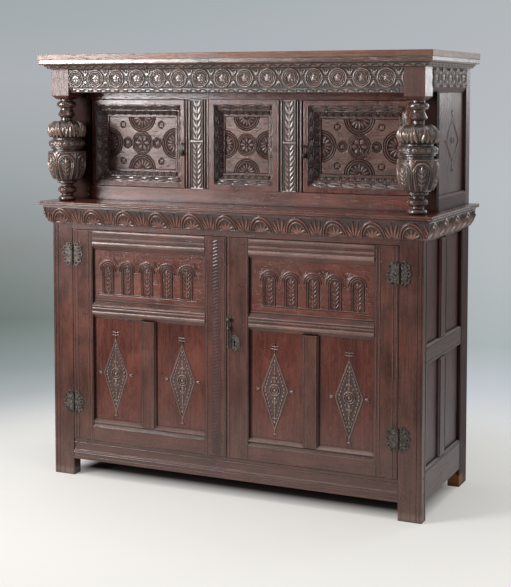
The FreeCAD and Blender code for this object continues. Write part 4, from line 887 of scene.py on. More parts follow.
def make_finishes():
    """Every finish, and the two trees that repeat parts."""
    look = bpy.context.scene.cupboard_finish
    for key, name, grains, colours, rest in oak_finishes(look):
        if len(grains) == 1:
            FINISHES[key] = wood(name, colours, grains, **rest)
        else:
            for grain in grains:
                FINISHES[key + grain] = wood(f"{name} grain {grain}", colours, grain, **rest)
    FINISHES["iron"] = iron("Blackened iron", tuple(look.iron), (0.17, 0.14, 0.12), 0.30)
    FINISHES["nail"] = iron("Rubbed iron", (0.16, 0.14, 0.125), (0.34, 0.31, 0.28), 0.26)
    TREES["row"] = row_tree()
    TREES["scatter"] = scatter_tree()


def dress_frame():
    """A finish for every piece that comes from the joiner's model."""
    finishes = {name: key for key, names in NODES_OF_FINISH.items() for name in names}
    finishes.update((name, name) for name in BACK_BOARDS)
    for name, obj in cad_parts.items():
        plain = "iron" if any(word in name for word in IRON_WORDS) else "frontZ"
        obj.data.materials.clear()
        obj.data.materials.append(FINISHES[finishes.get(name, plain)])
        if name == "columns":
            # The turned part and the cheeks of the block take the columns' own oak
            obj.data.materials.append(FINISHES["column"])
            for face in obj.data.polygons:
                if face.center.z < BLOCK_FOOT or abs(face.normal.x) > 0.9:
                    face.material_index = 1


def trimmed(mesh, *planes):
    """Cut a mesh at planes, each a point and the way that goes, and close the cuts."""
    form = bmesh.new()
    form.from_mesh(mesh)
    for place, normal in planes:
        geometry = form.verts[:] + form.edges[:] + form.faces[:]
        cut = bmesh.ops.bisect_plane(form, geom=geometry, plane_co=place, plane_no=normal,
                                     clear_outer=True)
        edges = [e for e in cut["geom_cut"] if isinstance(e, bmesh.types.BMEdge)]
        bmesh.ops.holes_fill(form, edges=edges)
    form.to_mesh(mesh)
    form.free()


def mitred(front, side):
    """Cut a run along the front and one along the right side where they meet and end."""
    trimmed(front, ((-HALF, FRONT, 0), (-1, 1, 0)), ((HALF, FRONT, 0), (1, 1, 0)))
    trimmed(side, ((HALF, FRONT, 0), (-1, -1, 0)), ((HALF, BACK - 0.0005, 0), (0, 1, 0)))


# Friezes and thin mouldings

GOUGED_TALL = 0.018
FRIEZE_END = 0.674
FIRST_ROUNDEL = -0.643
SIDE_FRIEZE_FOOT = UNDER_TOP - 0.123
SIDE_ROUNDELS = 5
CRESCENT_RELIEF = 0.0030


def rosette(h, x, z, cx, cz, radius, petals, tall, start=0.0, boss=0.26, scoop=0.45):
    """Petals round a boss."""
    for k in range(petals):
        angle = start + 2 * math.pi * k / petals
        root = (cx + 0.12 * radius * math.cos(angle), cz + 0.12 * radius * math.sin(angle))
        h = leaf(h, x, z, root, angle, radius * 0.86, radius * 2.1 / petals, tall, scoop)
    return ball_top(h, x, z, cx, cz, radius * boss, tall * 1.25)


def frieze_tile(pitch, tall_face, relief, wrap):
    """A roundel with a double rim and a boss; links and leaf fans between the roundels."""
    us, vs = lattice(pitch, tall_face, 0.00125)
    x, z, h = ground(us, vs, BED)
    h = ring(h, x, z, 0, 0, 0.0316, 0.0034, relief)
    h = ring(h, x, z, 0, 0, 0.0248, 0.0025, relief * 0.85)
    h = ring(h, x, z, 0, 0, 0.0188, 0.0020, relief * 0.9)
    h = rosette(h, x, z, 0, 0, 0.0160, 5, relief * 0.8, 0.39, 0.44)
    for side in (-1, 1):
        edge = side * pitch / 2
        for way in (-1, 1):
            h = rib(h, np.where(np.abs(x) > 0.034, np.abs(z - way * 0.0042), 1.0), 0.0019,
                    relief * 0.7)
            for turn, size in ((0, 0.021), (0.50, 0.028), (-0.50, 0.028)):
                h = leaf(h, x, z, (edge, way * 0.0085), way * (math.pi / 2) + turn, size,
                         0.0035, relief * 0.9, 0.25)
    h = rib(h, np.abs(z) - (tall_face / 2 - 0.0012), 0.0016, relief * 0.7)
    return tile(us, vs, h, wrap)


def carve_front_frieze():
    """A row of roundels between the corner blocks."""
    sizes = bpy.context.scene.cupboard_sizes
    finish = FINISHES["carvedX"]
    low = FRIEZE_FOOT + GOUGED_TALL
    tall = CORNICE_FOOT - low
    pitch = sizes.roundel_pitch
    part = frieze_tile(pitch, tall, sizes.relief, on_front(0, 0, 0))
    mesh = row("front_frieze_carving", [part], sizes.roundel_count,
               (FIRST_ROUNDEL, FRIEZE_FACE, low + tall / 2), (pitch, 0, 0), finish)
    trimmed(mesh, ((-FRIEZE_END, 0, 0), (-1, 0, 0)), ((FRIEZE_END, 0, 0), (1, 0, 0)))
    piece("front_frieze_carving", mesh, finish, "cabinet")


def carve_side_friezes():
    """The same roundels, a little narrower, along both side friezes."""
    sizes = bpy.context.scene.cupboard_sizes
    finish = FINISHES["carvedX"]
    low = SIDE_FRIEZE_FOOT + GOUGED_TALL
    tall = CORNICE_FOOT - low
    start = FRONT + 0.088
    pitch = (BACK - 0.050 - start) / SIDE_ROUNDELS
    part = frieze_tile(pitch, tall, sizes.relief, on_right(0, 0, 0))
    right = row("side_frieze_roundels", [part], SIDE_ROUNDELS,
                (HALF, start + pitch / 2, low + tall / 2), (0, pitch, 0), finish)
    piece("side_frieze_roundels", merged("side_frieze_roundels", [right, flipped(right)]),
          finish, "cabinet")


def crescent_tile(wide, tall, relief):
    """A thin moulding with one crescent cut in it."""
    us, vs = lattice(wide, tall, 0.0019)
    x, z, h = ground(us, vs, BED)
    h = slab(h, tall / 2 - np.abs(z), tall * 0.32, relief)
    outer = 1 - np.hypot(x / (wide * 0.44), (z + tall * 0.10) / (tall * 0.40))
    inner = 1 - np.hypot(x / (wide * 0.36), (z + tall * 0.40) / (tall * 0.42))
    cut = np.minimum(outer * 2.5, 1) * (1 - ramp(inner * 3 + 0.5))
    h = hollow(h, cut, 0.30, BED)
    return us, vs, h


def slope_wrap(y_low, z_low, y_high, z_high):
    """Wrap for a sloping strip that runs along X, and the strip's width."""
    run_y, run_z = y_high - y_low, z_high - z_low
    long = math.hypot(run_y, run_z)
    ny, nz = -run_z / long, run_y / long

    def wrap(u, v, h):
        t = v / long + 0.5
        return np.stack([u, y_low + run_y * t + ny * h, z_low + run_z * t + nz * h], -1)
    return wrap, long


def carve_mouldings():
    """Crescent cuts under the front frieze and on the bed of the cornice."""
    pitch = bpy.context.scene.cupboard_sizes.crescent_pitch
    finish = FINISHES["carvedX"]
    wrap, long = slope_wrap(FRONT + 0.0112, FRIEZE_FOOT + 0.0005, FRONT + 0.0030,
                            FRIEZE_FOOT + 0.0178)
    part = tile(*crescent_tile(pitch, long, CRESCENT_RELIEF), wrap)
    count = int(1.347 / pitch)
    meshes = [row("frieze_cuts", [part], count, (-pitch * (count - 1) / 2, 0, 0),
                  (pitch, 0, 0), finish)]
    wrap, long = slope_wrap(FRONT - 0.0040, CORNICE_FOOT + 0.0005, FRONT - 0.0220,
                            CORNICE_FOOT + 0.0155)
    part = tile(*crescent_tile(pitch, long, CRESCENT_RELIEF), wrap)
    count = int(1.53 / pitch) + 2
    front = row("cornice_cuts", [part], count, (-pitch * (count - 1) / 2, 0, 0),
                (pitch, 0, 0), finish)
    side = row("cornice_cuts_side", [to_side(part)], 16, (0, FRONT - 0.010, 0),
               (0, pitch, 0), finish)
    mitred(front, side)
    meshes += [front, side, flipped(side)]
    piece("moulding_cuts", merged("moulding_cuts", meshes), finish, "cabinet")


OVOLO_CENTRE = (-0.1951, 1.051)
OVOLO_RADIUS = 0.0934
OVOLO_START = math.radians(219.17)
OVOLO_SWEEP = math.radians(39.17)


def ovolo_wrap(u, v, h):
    """Wrap round the ledge's ovolo: v runs up its curve from 0 to 1."""
    angle = OVOLO_START - OVOLO_SWEEP * v
    radius = OVOLO_RADIUS + h
    return np.stack([u, OVOLO_CENTRE[0] + radius * np.cos(angle),
                     OVOLO_CENTRE[1] + radius * np.sin(angle)], -1)


def lunette_tile(pitch, relief):
    """A double arch over a small fan on the foot line, and splayed strokes on both sides."""
    long = OVOLO_RADIUS * OVOLO_SWEEP
    us, vs = lattice(pitch, long, 0.0013)
    x, z, h = ground(us, vs, BED)
    foot = -long / 2
    up = z - foot
    for lean, size in ((0, 0.063), (0.30, 0.062), (0.60, 0.062), (0.88, 0.058)):
        for side in (-1, 1):
            for way in (-1, 1):
                h = leaf(h, x, z, (side * pitch / 2 + way * lean * 0.008, foot - 0.004),
                         math.pi / 2 - way * lean, size, 0.0046, relief * 0.9, 0.2, 0.95)
    reach = np.hypot(x / 0.045, up / 0.060)
    h = np.where(reach < 1.08, BED, h)
    h = rib(h, (reach - 0.97) * 0.050, 0.0036, relief)
    h = rib(h, (reach - 0.76) * 0.050, 0.0028, relief * 0.85)
    for lean in (-1.05, -0.52, 0, 0.52, 1.05):
        h = np.where(reach < 0.66, leaf(h, x, z, (0, foot), math.pi / 2 + lean, 0.036, 0.0050,
                                        relief * 0.8, 0.35, 1.1), h)
    h = ball_top(h, x, z, 0, foot + 0.004, 0.0080, relief)
    h = rib(h, up - 0.0010, 0.0016, relief * 0.5)
    h = rib(h, up - (long - 0.0010), 0.0018, relief * 0.5)
    return us, vs / long + 0.5, h


def carve_ledge():
    """Lunettes round the ledge moulding, and two beads round the edge of its board."""
    sizes = bpy.context.scene.cupboard_sizes
    pitch = sizes.lunette_pitch
    finish = FINISHES["ledge"]
    part = tile(*lunette_tile(pitch, sizes.relief * 1.15), ovolo_wrap)
    front = row("ledge_lunettes", [part], 12, (-0.7, 0, 0), (pitch, 0, 0), finish)
    side = row("ledge_lunettes_side", [to_side(part)], 5, (0, FRONT + 0.030, 0),
               (0, pitch, 0), finish)
    mitred(front, side)
    piece("ledge_lunettes", front, finish, "cabinet")
    piece("ledge_lunettes_side", merged("ledge_lunettes_side", [side, flipped(side)]), finish,
          "cabinet")
    overhang = 0.040
    edge, front_edge = HALF + overhang, FRONT - overhang
    beads = []
    for level in (1.0623, 1.0696):
        size = (level, 0.0021, 0.0014)
        beads.append(bead(*size, -edge, edge, lambda a, o, l: (l, front_edge - o, a)))
        beads += both([bead(*size, front_edge, BACK, lambda a, o, l: (edge + o, l, a))])
    piece("ledge_board_beads", mesh_of("ledge_board_beads", beads, 50), finish, "cabinet")


# Turned columns

COLUMN_AXIS = (-0.712, FRONT + 0.044)
# Radius at which the patterns of the turned parts have their true width
TURNED = 0.069


def cup_wrap(u, v, h):
    """Wrap round the cup: u is the angle and v the height above the ledge."""
    belly = np.minimum(v, 0.147)
    radius = -0.0401 + np.sqrt(0.1091 ** 2 - (0.147 - belly) ** 2) + h
    return np.stack([radius * np.cos(u), radius * np.sin(u), LEDGE + v], -1)


def cover_wrap(u, v, h):
    """Wrap round the cover: v is the angle up its round section."""
    low = v < 0
    core = np.where(low, 0.0252, 0.03687)
    turn = np.where(low, 0.0438, 0.03213) + h
    radius = core + turn * np.cos(v)
    return np.stack([radius * np.cos(u), radius * np.sin(u),
                     LEDGE + 0.276 + turn * np.sin(v)], -1)


def cup_tile(relief, arches):
    """An arch with a branching leaf in it, and a tall leaf between two arches."""
    sector = 2 * math.pi / arches
    us = np.linspace(-sector / 2, sector / 2, 60)
    vs = np.linspace(0.084, 0.1915, 80)
    a, z = np.meshgrid(us, vs)
    x = a * TURNED
    h = np.full_like(x, BED)
    half = sector * TURNED / 2
    for side in (-1, 1):
        h = leaf(h, x, z, (side * half, 0.196), -math.pi / 2, 0.050, 0.0088, relief, 0.35)
        h = leaf(h, x, z, (side * half, 0.184), -math.pi / 2, 0.095, 0.0036, relief * 0.9)
        for turn in (0.55, -0.55):
            h = leaf(h, x, z, (side * half, 0.164), math.pi / 2 + turn, 0.034, 0.0046,
                     relief * 0.9, 0.3)
    spring = 0.148
    arch = np.where(z > spring, np.hypot(x, z - spring), np.abs(x) + (spring - z) * 0.10)
    h = np.where(arch < 0.0325, BED, h)
    h = rib(h, arch - 0.0295, 0.0033, relief)
    h = rib(h, arch - 0.0232, 0.0018, relief * 0.7)
    inner = arch < 0.0215
    h = np.where(inner, rib(h, x, 0.0020, relief * 0.9), h)
    for k, size in enumerate((0.020, 0.023, 0.024, 0.021)):
        for side in (-1, 1):
            h = np.where(inner, leaf(h, x, z, (0, 0.100 + 0.0145 * k),
                                     math.pi / 2 - side * (0.78 - 0.08 * k), size, 0.0042,
                                     relief * 0.85, 0.25), h)
    h = np.where(inner, leaf(h, x, z, (0, 0.146), math.pi / 2, 0.024, 0.0048, relief * 0.9,
                             0.2), h)
    h = rib(h, z - 0.1895, 0.0020, relief * 0.6)
    return tile(us, vs, h, cup_wrap)


def cover_tile(relief, leaves):
    """A fluted leaf with a lobed tip that hangs over the cover, between two shorter ones."""
    sector = 2 * math.pi / leaves
    us = np.linspace(-sector / 2, sector / 2, 50)
    vs = np.linspace(-0.80, 1.48, 72)
    a, v = np.meshgrid(us, vs)
    x = a * np.maximum(TURNED * np.cos(v * 0.62), 0.034)
    z = v * 0.036
    h = np.full_like(x, BED)
    half, flute = sector * TURNED / 2, 0.215
    for middle, root, long, full in ((-half, 0.050, 0.066, 0.55), (half, 0.050, 0.066, 0.55),
                                     (0.0, 0.056, 0.078, 1.45)):
        across, down = x - middle, root - z
        reach = np.hypot(across, down)
        turn = np.arctan2(across, np.maximum(down, 1e-6))
        lobes = np.cos(turn * 2 * math.pi / flute)
        inside = np.minimum((0.31 - np.abs(turn)) * reach, long + 0.0040 * lobes - reach)
        body = (down > 0) * ramp(inside / 0.0035)
        value = relief * full * (0.70 + 0.30 * lobes) * (0.50 + 0.55 * reach / long)
        h = np.where(body > 0, np.maximum(h * (1 - body) + BED * body,
                                          SINK + (value - SINK) * body), h)
        h = np.maximum(h, BED)
    return tile(us, vs, h, cover_wrap)


def collar_tile(beads):
    """A pill-shaped bead between two thin lines."""
    radius, middle = 0.068, 0.222
    us = np.linspace(-math.pi / beads, math.pi / beads, 14)
    vs = np.linspace(0.2125, 0.2315, 9)
    a, v = np.meshgrid(us, vs)
    x, z = a * radius, v - middle
    h = np.full_like(x, BED)
    away = np.hypot(x / 0.0105, z / 0.0082)
    h = slab(h, 1 - away, 0.45, 0.0024)
    h = hollow(h, 0.45 - away, 0.3, 0.0012)
    h = rib(h, np.abs(z) - 0.0088, 0.0016, 0.0016)
    return tile(us, vs, h, lambda u, w, d: np.stack(
        [(radius + d) * np.cos(u), (radius + d) * np.sin(u), LEDGE + w], -1))


def carve_columns():
    """Arches round each cup, leaves round its cover and a beaded collar between them."""
    relief = bpy.context.scene.cupboard_sizes.relief * 1.1
    finish = FINISHES["column"]
    meshes = []
    for label, part, count in (("cup", cup_tile(relief, 6), 6),
                               ("cover", cover_tile(relief, 8), 8),
                               ("collar", collar_tile(18), 18)):
        meshes.append(row("column_" + label, [part], count, (*COLUMN_AXIS, 0), (0, 0, 0),
                          finish, 2 * math.pi / count))
    left = merged("column_carving_left", meshes)
    piece("column_carving_left", left, finish, "cabinet")
    piece("column_carving_right", flipped(left), finish, "cabinet")


# Upper doors, middle panel and pilasters

# Carved fields: width and height; their frames: the same, then width of stiles and rails
DOOR_FIELD = (0.296, 0.204)
MIDDLE_FIELD = (0.180, 0.212)
DOOR_FRAME = (0.416, 0.336, 0.060, 0.066)
MIDDLE_FRAME = (0.282, 0.340, 0.051, 0.064)
PILASTER_MIDDLE = -0.1905


def fluted_round(h, x, z, cx, cz, radius, start, petals, top):
    """A lunette or roundel sunk in the face: a raised rim between cut lines, and petals."""
    away = np.hypot(x - cx, z - cz)
    h = hollow(h, radius * 1.05 - away, 0.0012, BED)
    h = rib(h, away - radius * 0.945, 0.0031, top * 1.08)
    h = rib(h, away - radius * 0.785, 0.0029, top * 1.0)
    for k in range(petals):
        angle = start + 2 * math.pi * k / petals
        root = (cx + radius * 0.10 * math.cos(angle), cz + radius * 0.10 * math.sin(angle))
        h = leaf(h, x, z, root, angle, radius * 0.62, radius * 1.42 / petals, top, 0.15, 1.3)
    return ball_top(h, x, z, cx, cz, radius * 0.13, top)


def field_carving(wide, tall, relief, broad):
    """Half roundels from the four sides round a rosette; broad fields have more of them."""
    us, vs = lattice(wide, tall, 0.0012)
    x, z, h = ground(us, vs, BED)
    edge = np.minimum(wide / 2 - np.abs(x), tall / 2 - np.abs(z))
    h = slab(h, edge, 0.0016, relief)
    reach = 0.057 if broad else 0.051
    for cx, cz in ((0, tall / 2), (0, -tall / 2), (wide / 2, 0), (-wide / 2, 0)):
        h = fluted_round(h, x, z, cx, cz, reach, math.pi / 14, 14, relief)
    h = fluted_round(h, x, z, 0, 0, 0.043 if broad else 0.040, 0, 6 if broad else 8, relief)
    if broad:
        for side in (-1, 1):
            at = side * 0.066
            away = np.hypot(x - at, z)
            h = hollow(h, 0.0235 - away, 0.0012, BED)
            h = rib(h, away - 0.0212, 0.0022, relief)
            h = rib(h, away - 0.0150, 0.0020, relief)
            h = rosette(h, x, z, at, 0, 0.0110, 4, relief * 0.9, math.pi / 4, 0.20)
            for way in (-1, 1):
                spot = (side * 0.085, way * 0.071)
                h = hollow(h, 0.0140 - np.hypot(x - spot[0], z - spot[1]), 0.0014, BED)
                h = rosette(h, x, z, *spot, 0.0130, 4, relief * 0.95, math.pi / 4, 0.18, 0.3)
    return us, vs, h


def frame_sides(wide, tall, stile, rail):
    """The four sides of a mitred frame: turn, half of its span, face width and length."""
    return ((0, tall / 2, rail, wide, stile), (1, wide / 2, stile, tall, rail),
            (2, tall / 2, rail, wide, stile), (3, wide / 2, stile, tall, rail))


def slope_carving(name, wide, tall, stile, rail, cx, cz, finish):
    """Two carved rows with beads between them on each sloping side of a mitred frame."""
    flat, deep, lip = 0.018, 0.034, 0.006
    rows_made = []
    runs = []
    for turn, half_out, face, span, other in frame_sides(wide, tall, stile, rail):
        run_out = face - lip - flat
        slope = math.hypot(run_out, deep)
        c, s = (1, 0, -1, 0)[turn], (0, 1, 0, -1)[turn]

        def put(u, v, d, c=c, s=s, half_out=half_out, run_out=run_out, slope=slope):
            """From a side's own width, slope and depth to the cupboard's X, Y and Z."""
            t = 0.5 - v / slope
            b = flat + run_out * t + deep / slope * d - half_out
            return (cx + c * u + s * b, RECESS + deep * t - run_out / slope * d,
                    cz + s * u - c * b)

        def usable(t, span=span, other=other):
            """The side's length between its mitres at a share of the slope."""
            return span - 2 * (flat + (other - lip - flat) * t)

        for t_mid, share, pitch, make in ((0.27, 0.40, 0.0575, wave_tile),
                                          (0.75, 0.36, 0.0290, bud_tile)):
            room = usable(t_mid + share / 2)
            count = int(round(room / pitch))
            step = room / count
            us, vs, h = make(step, slope * share)
            shift = (0.5 - t_mid) * slope
            part = tile(us, vs, h, lambda u, v, d, shift=shift: np.stack(put(u, v + shift, d),
                                                                         -1))
            first = -(count - 1) / 2 * step
            rows_made.append(row(name, [part], count, (c * first, 0, s * first),
                                 (c * step, 0, s * step), finish))
        for t, half, rise in ((0.035, 0.0016, 0.0022), (0.515, 0.0020, 0.0026),
                              (0.965, 0.0018, 0.0024)):
            reach = usable(t) / 2
            runs.append(bead((0.5 - t) * slope, half, rise, -reach, reach,
                             lambda a, o, l: put(l, a, o)))
    return merged(name, rows_made + [mesh_of(name + "_beads", runs)])


def wave_tile(wide, tall):
    """A slanted leaf with a curled tip: one step of the outer row."""
    us, vs = lattice(wide, tall, 0.0022)
    x, z, h = ground(us, vs, BED)
    h = leaf(h, x, z, (-wide * 0.48, -tall * 0.22), 0.30, wide * 0.86, tall * 0.34, 0.0040,
             0.45)
    h = leaf(h, x, z, (-wide * 0.30, -tall * 0.42), 0.10, wide * 0.80, tall * 0.20, 0.0036,
             0.2)
    h = ball_top(h, x, z, wide * 0.40, -tall * 0.05, 0.0042, 0.0040)
    h = leaf(h, x, z, (wide * 0.10, tall * 0.40), -0.25, wide * 0.44, tall * 0.15, 0.0034, 0.2)
    return us, vs, h


def bud_tile(wide, tall):
    """A bud in a small arch: one step of the inner row."""
    us, vs = lattice(wide, tall, 0.0024)
    x, z, h = ground(us, vs, BED)
    arch = np.where(z > 0, np.hypot(x, z), np.abs(x))
    h = rib(h, arch - wide * 0.40, 0.0026, 0.0034)
    h = leaf(h, x, z, (0, -tall * 0.46), math.pi / 2, tall * 0.80, wide * 0.20, 0.0036, 0.35)
    return us, vs, h


def carve_upper_doors():
    """Fields and sloping borders of the two upper doors and of the fixed middle."""
    relief = 0.0034
    finish = FINISHES["field"]
    part = tile(*field_carving(*DOOR_FIELD, relief, True),
                on_front(UPPER_DOOR_MIDDLE, FIELD_FACE, UPPER_MIDDLE))
    door_pair("upper", "carving", mesh_of("upper_door_left_carving", [part]), finish,
              mesh_of("upper_door_right_carving", [mirrored(part)]))
    part = tile(*field_carving(*MIDDLE_FIELD, relief, False),
                on_front(0, FIELD_FACE, UPPER_MIDDLE))
    piece("middle_carving", mesh_of("middle_carving", [part]), finish, "cabinet")
    finish = FINISHES["border"]
    borders = slope_carving("door_borders", *DOOR_FRAME, UPPER_DOOR_MIDDLE, UPPER_MIDDLE,
                            finish)
    door_pair("upper", "borders", borders, finish)
    borders = slope_carving("middle_borders", *MIDDLE_FRAME, 0, UPPER_MIDDLE, finish)
    piece("middle_borders", borders, finish, "cabinet")


def carve_pilasters():
    """Pairs of leaves that lean out from a stem, long over the middle bar, short under it."""
    relief = 0.0040
    wide, tall, bar = 0.052, 0.338, 0.012
    us, vs = lattice(wide, tall, 0.0013)
    x, z, h = ground(us, vs, BED)
    h = rib(h, np.abs(x) - (wide / 2 - 0.0022), 0.0022, relief)
    h = slab(h, 0.0050 - np.abs(z - bar), 0.0018, relief)
    h = slab(h, np.abs(z) - (tall / 2 - 0.0050), 0.0015, relief)
    over, below = z > bar + 0.005, z < bar - 0.005
    h = np.where(over, rib(h, x, 0.0030, relief), h)
    for k in range(6):
        for side in (-1, 1):
            h = np.where(over, leaf(h, x, z, (side * 0.0035, bar + k * 0.0262),
                                    math.pi / 2 - side * 0.42, 0.036, 0.0062, relief, 0.35), h)
    for k in range(9):
        for side in (-1, 1):
            h = np.where(below, leaf(h, x, z, (side * 0.0030, -0.170 + k * 0.0192),
                                     math.pi / 2 - side * 0.60, 0.030, 0.0056, relief, 0.25),
                         h)
    part = tile(us, vs, h, on_front(PILASTER_MIDDLE, RECESS, UPPER_MIDDLE))
    finish = FINISHES["carvedZ"]
    piece("pilaster_carving", mesh_of("pilaster_carving", both([part])), finish, "cabinet")
    beads = [bead(at, half, 0.0015, 1.128, 1.464, lambda a, o, l: (a, RECESS - o, l))
             for at, half in ((-0.2365, 0.0026), (-0.2225, 0.0022), (-0.1585, 0.0022),
                              (-0.1445, 0.0026))]
    piece("pilaster_beads", mesh_of("pilaster_beads", both(beads), 50), finish, "cabinet")


# Lower doors

ARCADE_MIDDLE = -0.3385
ARCADE_LEVEL = 0.791
ARCADE_ENDS = (-0.573, -0.0885)
LOZENGE_LEVEL = 0.414
SCALES_FOOT, SCALES_TALL = 0.152, 0.81


def arch_tile(pitch, tall, plate, relief):
    """One bay of the arcade: a narrow opening with a leafy stem, under three arch lines."""
    us, vs = lattice(pitch, tall, 0.0012)
    x, z, h = ground(us, vs, plate)
    foot = -tall / 2 + 0.030
    spring = foot + 0.091
    low = z - foot
    arch = np.where(z > spring, np.hypot(x, z - spring), np.abs(x))
    bay, crown = low > 0, z > spring - 0.004
    h = np.where(bay, hollow(h, np.minimum(0.0190 - arch, low), 0.0012, BED), h)
    h = np.where(bay, groove(h, arch - 0.0245, 0.0018, plate), h)
    h = np.where(bay, rib(h, arch - 0.0208, 0.0022, relief), h)
    h = np.where(crown, groove(h, arch - 0.0325, 0.0016, plate), h)
    h = np.where(crown, rib(h, arch - 0.0288, 0.0022, relief), h)
    h = np.where(crown & (arch < 0.0405), rib(h, arch - 0.0372, 0.0022, relief * 0.9), h)
    inner = bay & (arch < 0.0185)
    h = np.where(inner & (z < spring + 0.002), rib(h, x, 0.0026, relief * 0.9), h)
    for k in range(6):
        for side in (-1, 1):
            h = np.where(inner, leaf(h, x, z, (0, foot + 0.004 + 0.0155 * k),
                                     math.pi / 2 - side * 0.62, 0.024, 0.0040, relief * 0.9,
                                     0.3), h)
    h = np.where(inner, ball_top(h, x, z, 0, spring + 0.006, 0.0062, relief * 1.1), h)
    for shift in (0, 0.0085):
        line = np.abs((pitch / 2 - np.abs(x)) * 1.25 - (z - spring - 0.021 - shift))
        near = (pitch / 2 - np.abs(x) < 0.014) & (z > spring + 0.016 + shift) & (arch > 0.040)
        h = np.where(near, groove(h, line, 0.0018, plate), h)
    h = groove(h, z - foot + 0.0040, 0.0016, plate)
    h = rib(h, z - foot + 0.0010, 0.0020, relief)
    return us, vs, h


def lozenge_carving(wide, tall, relief):
    """A tall lozenge with a pale edge, pips and a roundel, small leaves at its points."""
    us, vs = lattice(wide, tall, 0.0014)
    x, z, h = ground(us, vs)
    half, up, down = 0.0525, 0.136, 0.150
    away = (1 - np.abs(x) / half - np.abs(z) / np.where(z > 0, up, down)) * 0.049
    h = np.where(away > -0.0040, np.maximum(h, BED), h)
    h = rib(h, away - 0.0016, 0.0025, relief * 0.9)
    for way, high in ((1, up), (-1, down)):
        for k in range(9):
            t = (k + 0.5) / 9
            for side in (-1, 1):
                h = ball_top(h, x, z, side * (half - 0.0135) * (1 - t), way * high * 0.84 * t,
                             0.0044 - 0.0012 * t, relief * 1.1)
        for k in range(6):
            t = k / 6
            h = leaf(h, x, z, (0, way * (0.026 + 0.0150 * k)), way * math.pi / 2, 0.014,
                     0.0050 * (1 - t) + 0.0016, relief, 0.3)
            if k < 2:
                for side in (-1, 1):
                    h = ball_top(h, x, z, side * (0.0140 - 0.006 * k),
                                 way * (0.029 + 0.015 * k), 0.0036, relief)
    inside = np.hypot(x, z)
    h = np.where(inside < 0.0235, BED, h)
    h = rib(h, inside - 0.0200, 0.0025, relief * 1.1)
    h = rib(h, inside - 0.0122, 0.0022, relief)
    h = ball_top(h, x, z, 0, 0, 0.0062, relief * 1.2)
    for side in (-1, 1):
        turn = 0 if side > 0 else math.pi
        for lean in (-0.30, 0.30):
            h = leaf(h, x, z, (side * 0.0590, 0), turn + lean, 0.022, 0.0032, relief * 0.9)
    near = (np.abs(x) < 0.004) & (z > up - 0.004) & (z < 0.172)
    h = np.where(near, rib(h, x, 0.0020, relief * 0.8), h)
    for level in (0.150, 0.160):
        for lean in (0.12, math.pi - 0.12):
            h = leaf(h, x, z, (0, level), lean, 0.021, 0.0030, relief * 0.9)
    near = (np.abs(x) < 0.004) & (z < -down + 0.004) & (z > -0.168)
    h = np.where(near, rib(h, x, 0.0026, relief * 0.8), h)
    for lean in (-0.8, 0.8):
        h = leaf(h, x, z, (0, -0.158), -math.pi / 2 + lean, 0.014, 0.0030, relief * 0.9)
    return us, vs, h


def scale_tile(wide, tall, relief):
    """One slanted scale of the strip along the left door's meeting stile."""
    us = np.linspace(-wide / 2, wide / 2, 11)
    vs = np.linspace(-tall / 2, tall / 2, 7)
    x, z, h = ground(us, vs, BED)
    h = leaf(h, x, z, (-wide * 0.44, -tall * 0.42), 0.40, wide * 0.94, tall * 0.40, relief)
    h = rib(h, np.abs(x) - wide * 0.47, wide * 0.06, relief)
    return us, vs, h


def carve_lower_doors():
    """Arcades and lozenges of both lower doors, and the scales by the meeting edge."""
    tall = 0.198
    pitch = bpy.context.scene.cupboard_sizes.arch_pitch
    finish = FINISHES["frontX"]
    plate = 0.0017
    part = tile(*arch_tile(pitch, tall, plate, 0.0036), on_front(0, PANEL_FACE, ARCADE_LEVEL))
    bays = row("arcade", [part], 5, (ARCADE_MIDDLE - 2 * pitch, 0, 0), (pitch, 0, 0), finish)
    plain = []
    for low, high in ((ARCADE_ENDS[0], ARCADE_MIDDLE - 2.5 * pitch),
                      (ARCADE_MIDDLE + 2.5 * pitch, ARCADE_ENDS[1])):
        us, vs = lattice(high - low, tall, 0.0100)
        x, z, h = ground(us, vs, plate)
        plain.append(tile(us, vs, h, on_front((low + high) / 2, PANEL_FACE, ARCADE_LEVEL)))
    door_pair("lower", "arcade",
              merged("arcades", [bays, mesh_of("arcade_margins", plain)]), finish)
    finish = FINISHES["lozenge"]
    us, vs, h = lozenge_carving(0.172, 0.362, 0.0040)
    part = shell(us, vs, h, on_front(0, PANEL_FACE, LOZENGE_LEVEL))
    door_pair("lower", "lozenges",
              row("lozenges", [part], 2, (-0.4775, 0, 0), (0.288, 0, 0), finish), finish)
    finish = FINISHES["frontZ"]
    step = 0.0125
    crisp, count = 8, int(SCALES_TALL / step)
    scales = []
    for relief, first, many in ((0.0009, 0, count - crisp), (0.0012, count - crisp, crisp)):
        part = tile(*scale_tile(0.034, step, relief), on_front(-0.043, FRONT, 0))
        scales.append(row("meeting_scales", [part], many,
                          (0, 0, SCALES_FOOT + step * (first + 0.5)), (0, 0, step), finish))
    piece("lower_door_left_scales", merged("lower_door_left_scales", scales), finish,
          "lower_door_left")


# Half width and height of the beads that run along frames
STILE_BEAD = (0.0022, 0.0014)
MUNTIN_BEAD = (0.0020, 0.0013)


# Where a run lies: a is the place across it, o the way out of the face, l the way along it


def up_front(a, o, l):
    return a, FRONT - o, l


def along_front(a, o, l):
    return l, FRONT - o, a


def along_panel(a, o, l):
    return l, PANEL_FACE - o, a


def up_side(a, o, l):
    return HALF + o, a, l


def along_side(a, o, l):
    return HALF + o, l, a


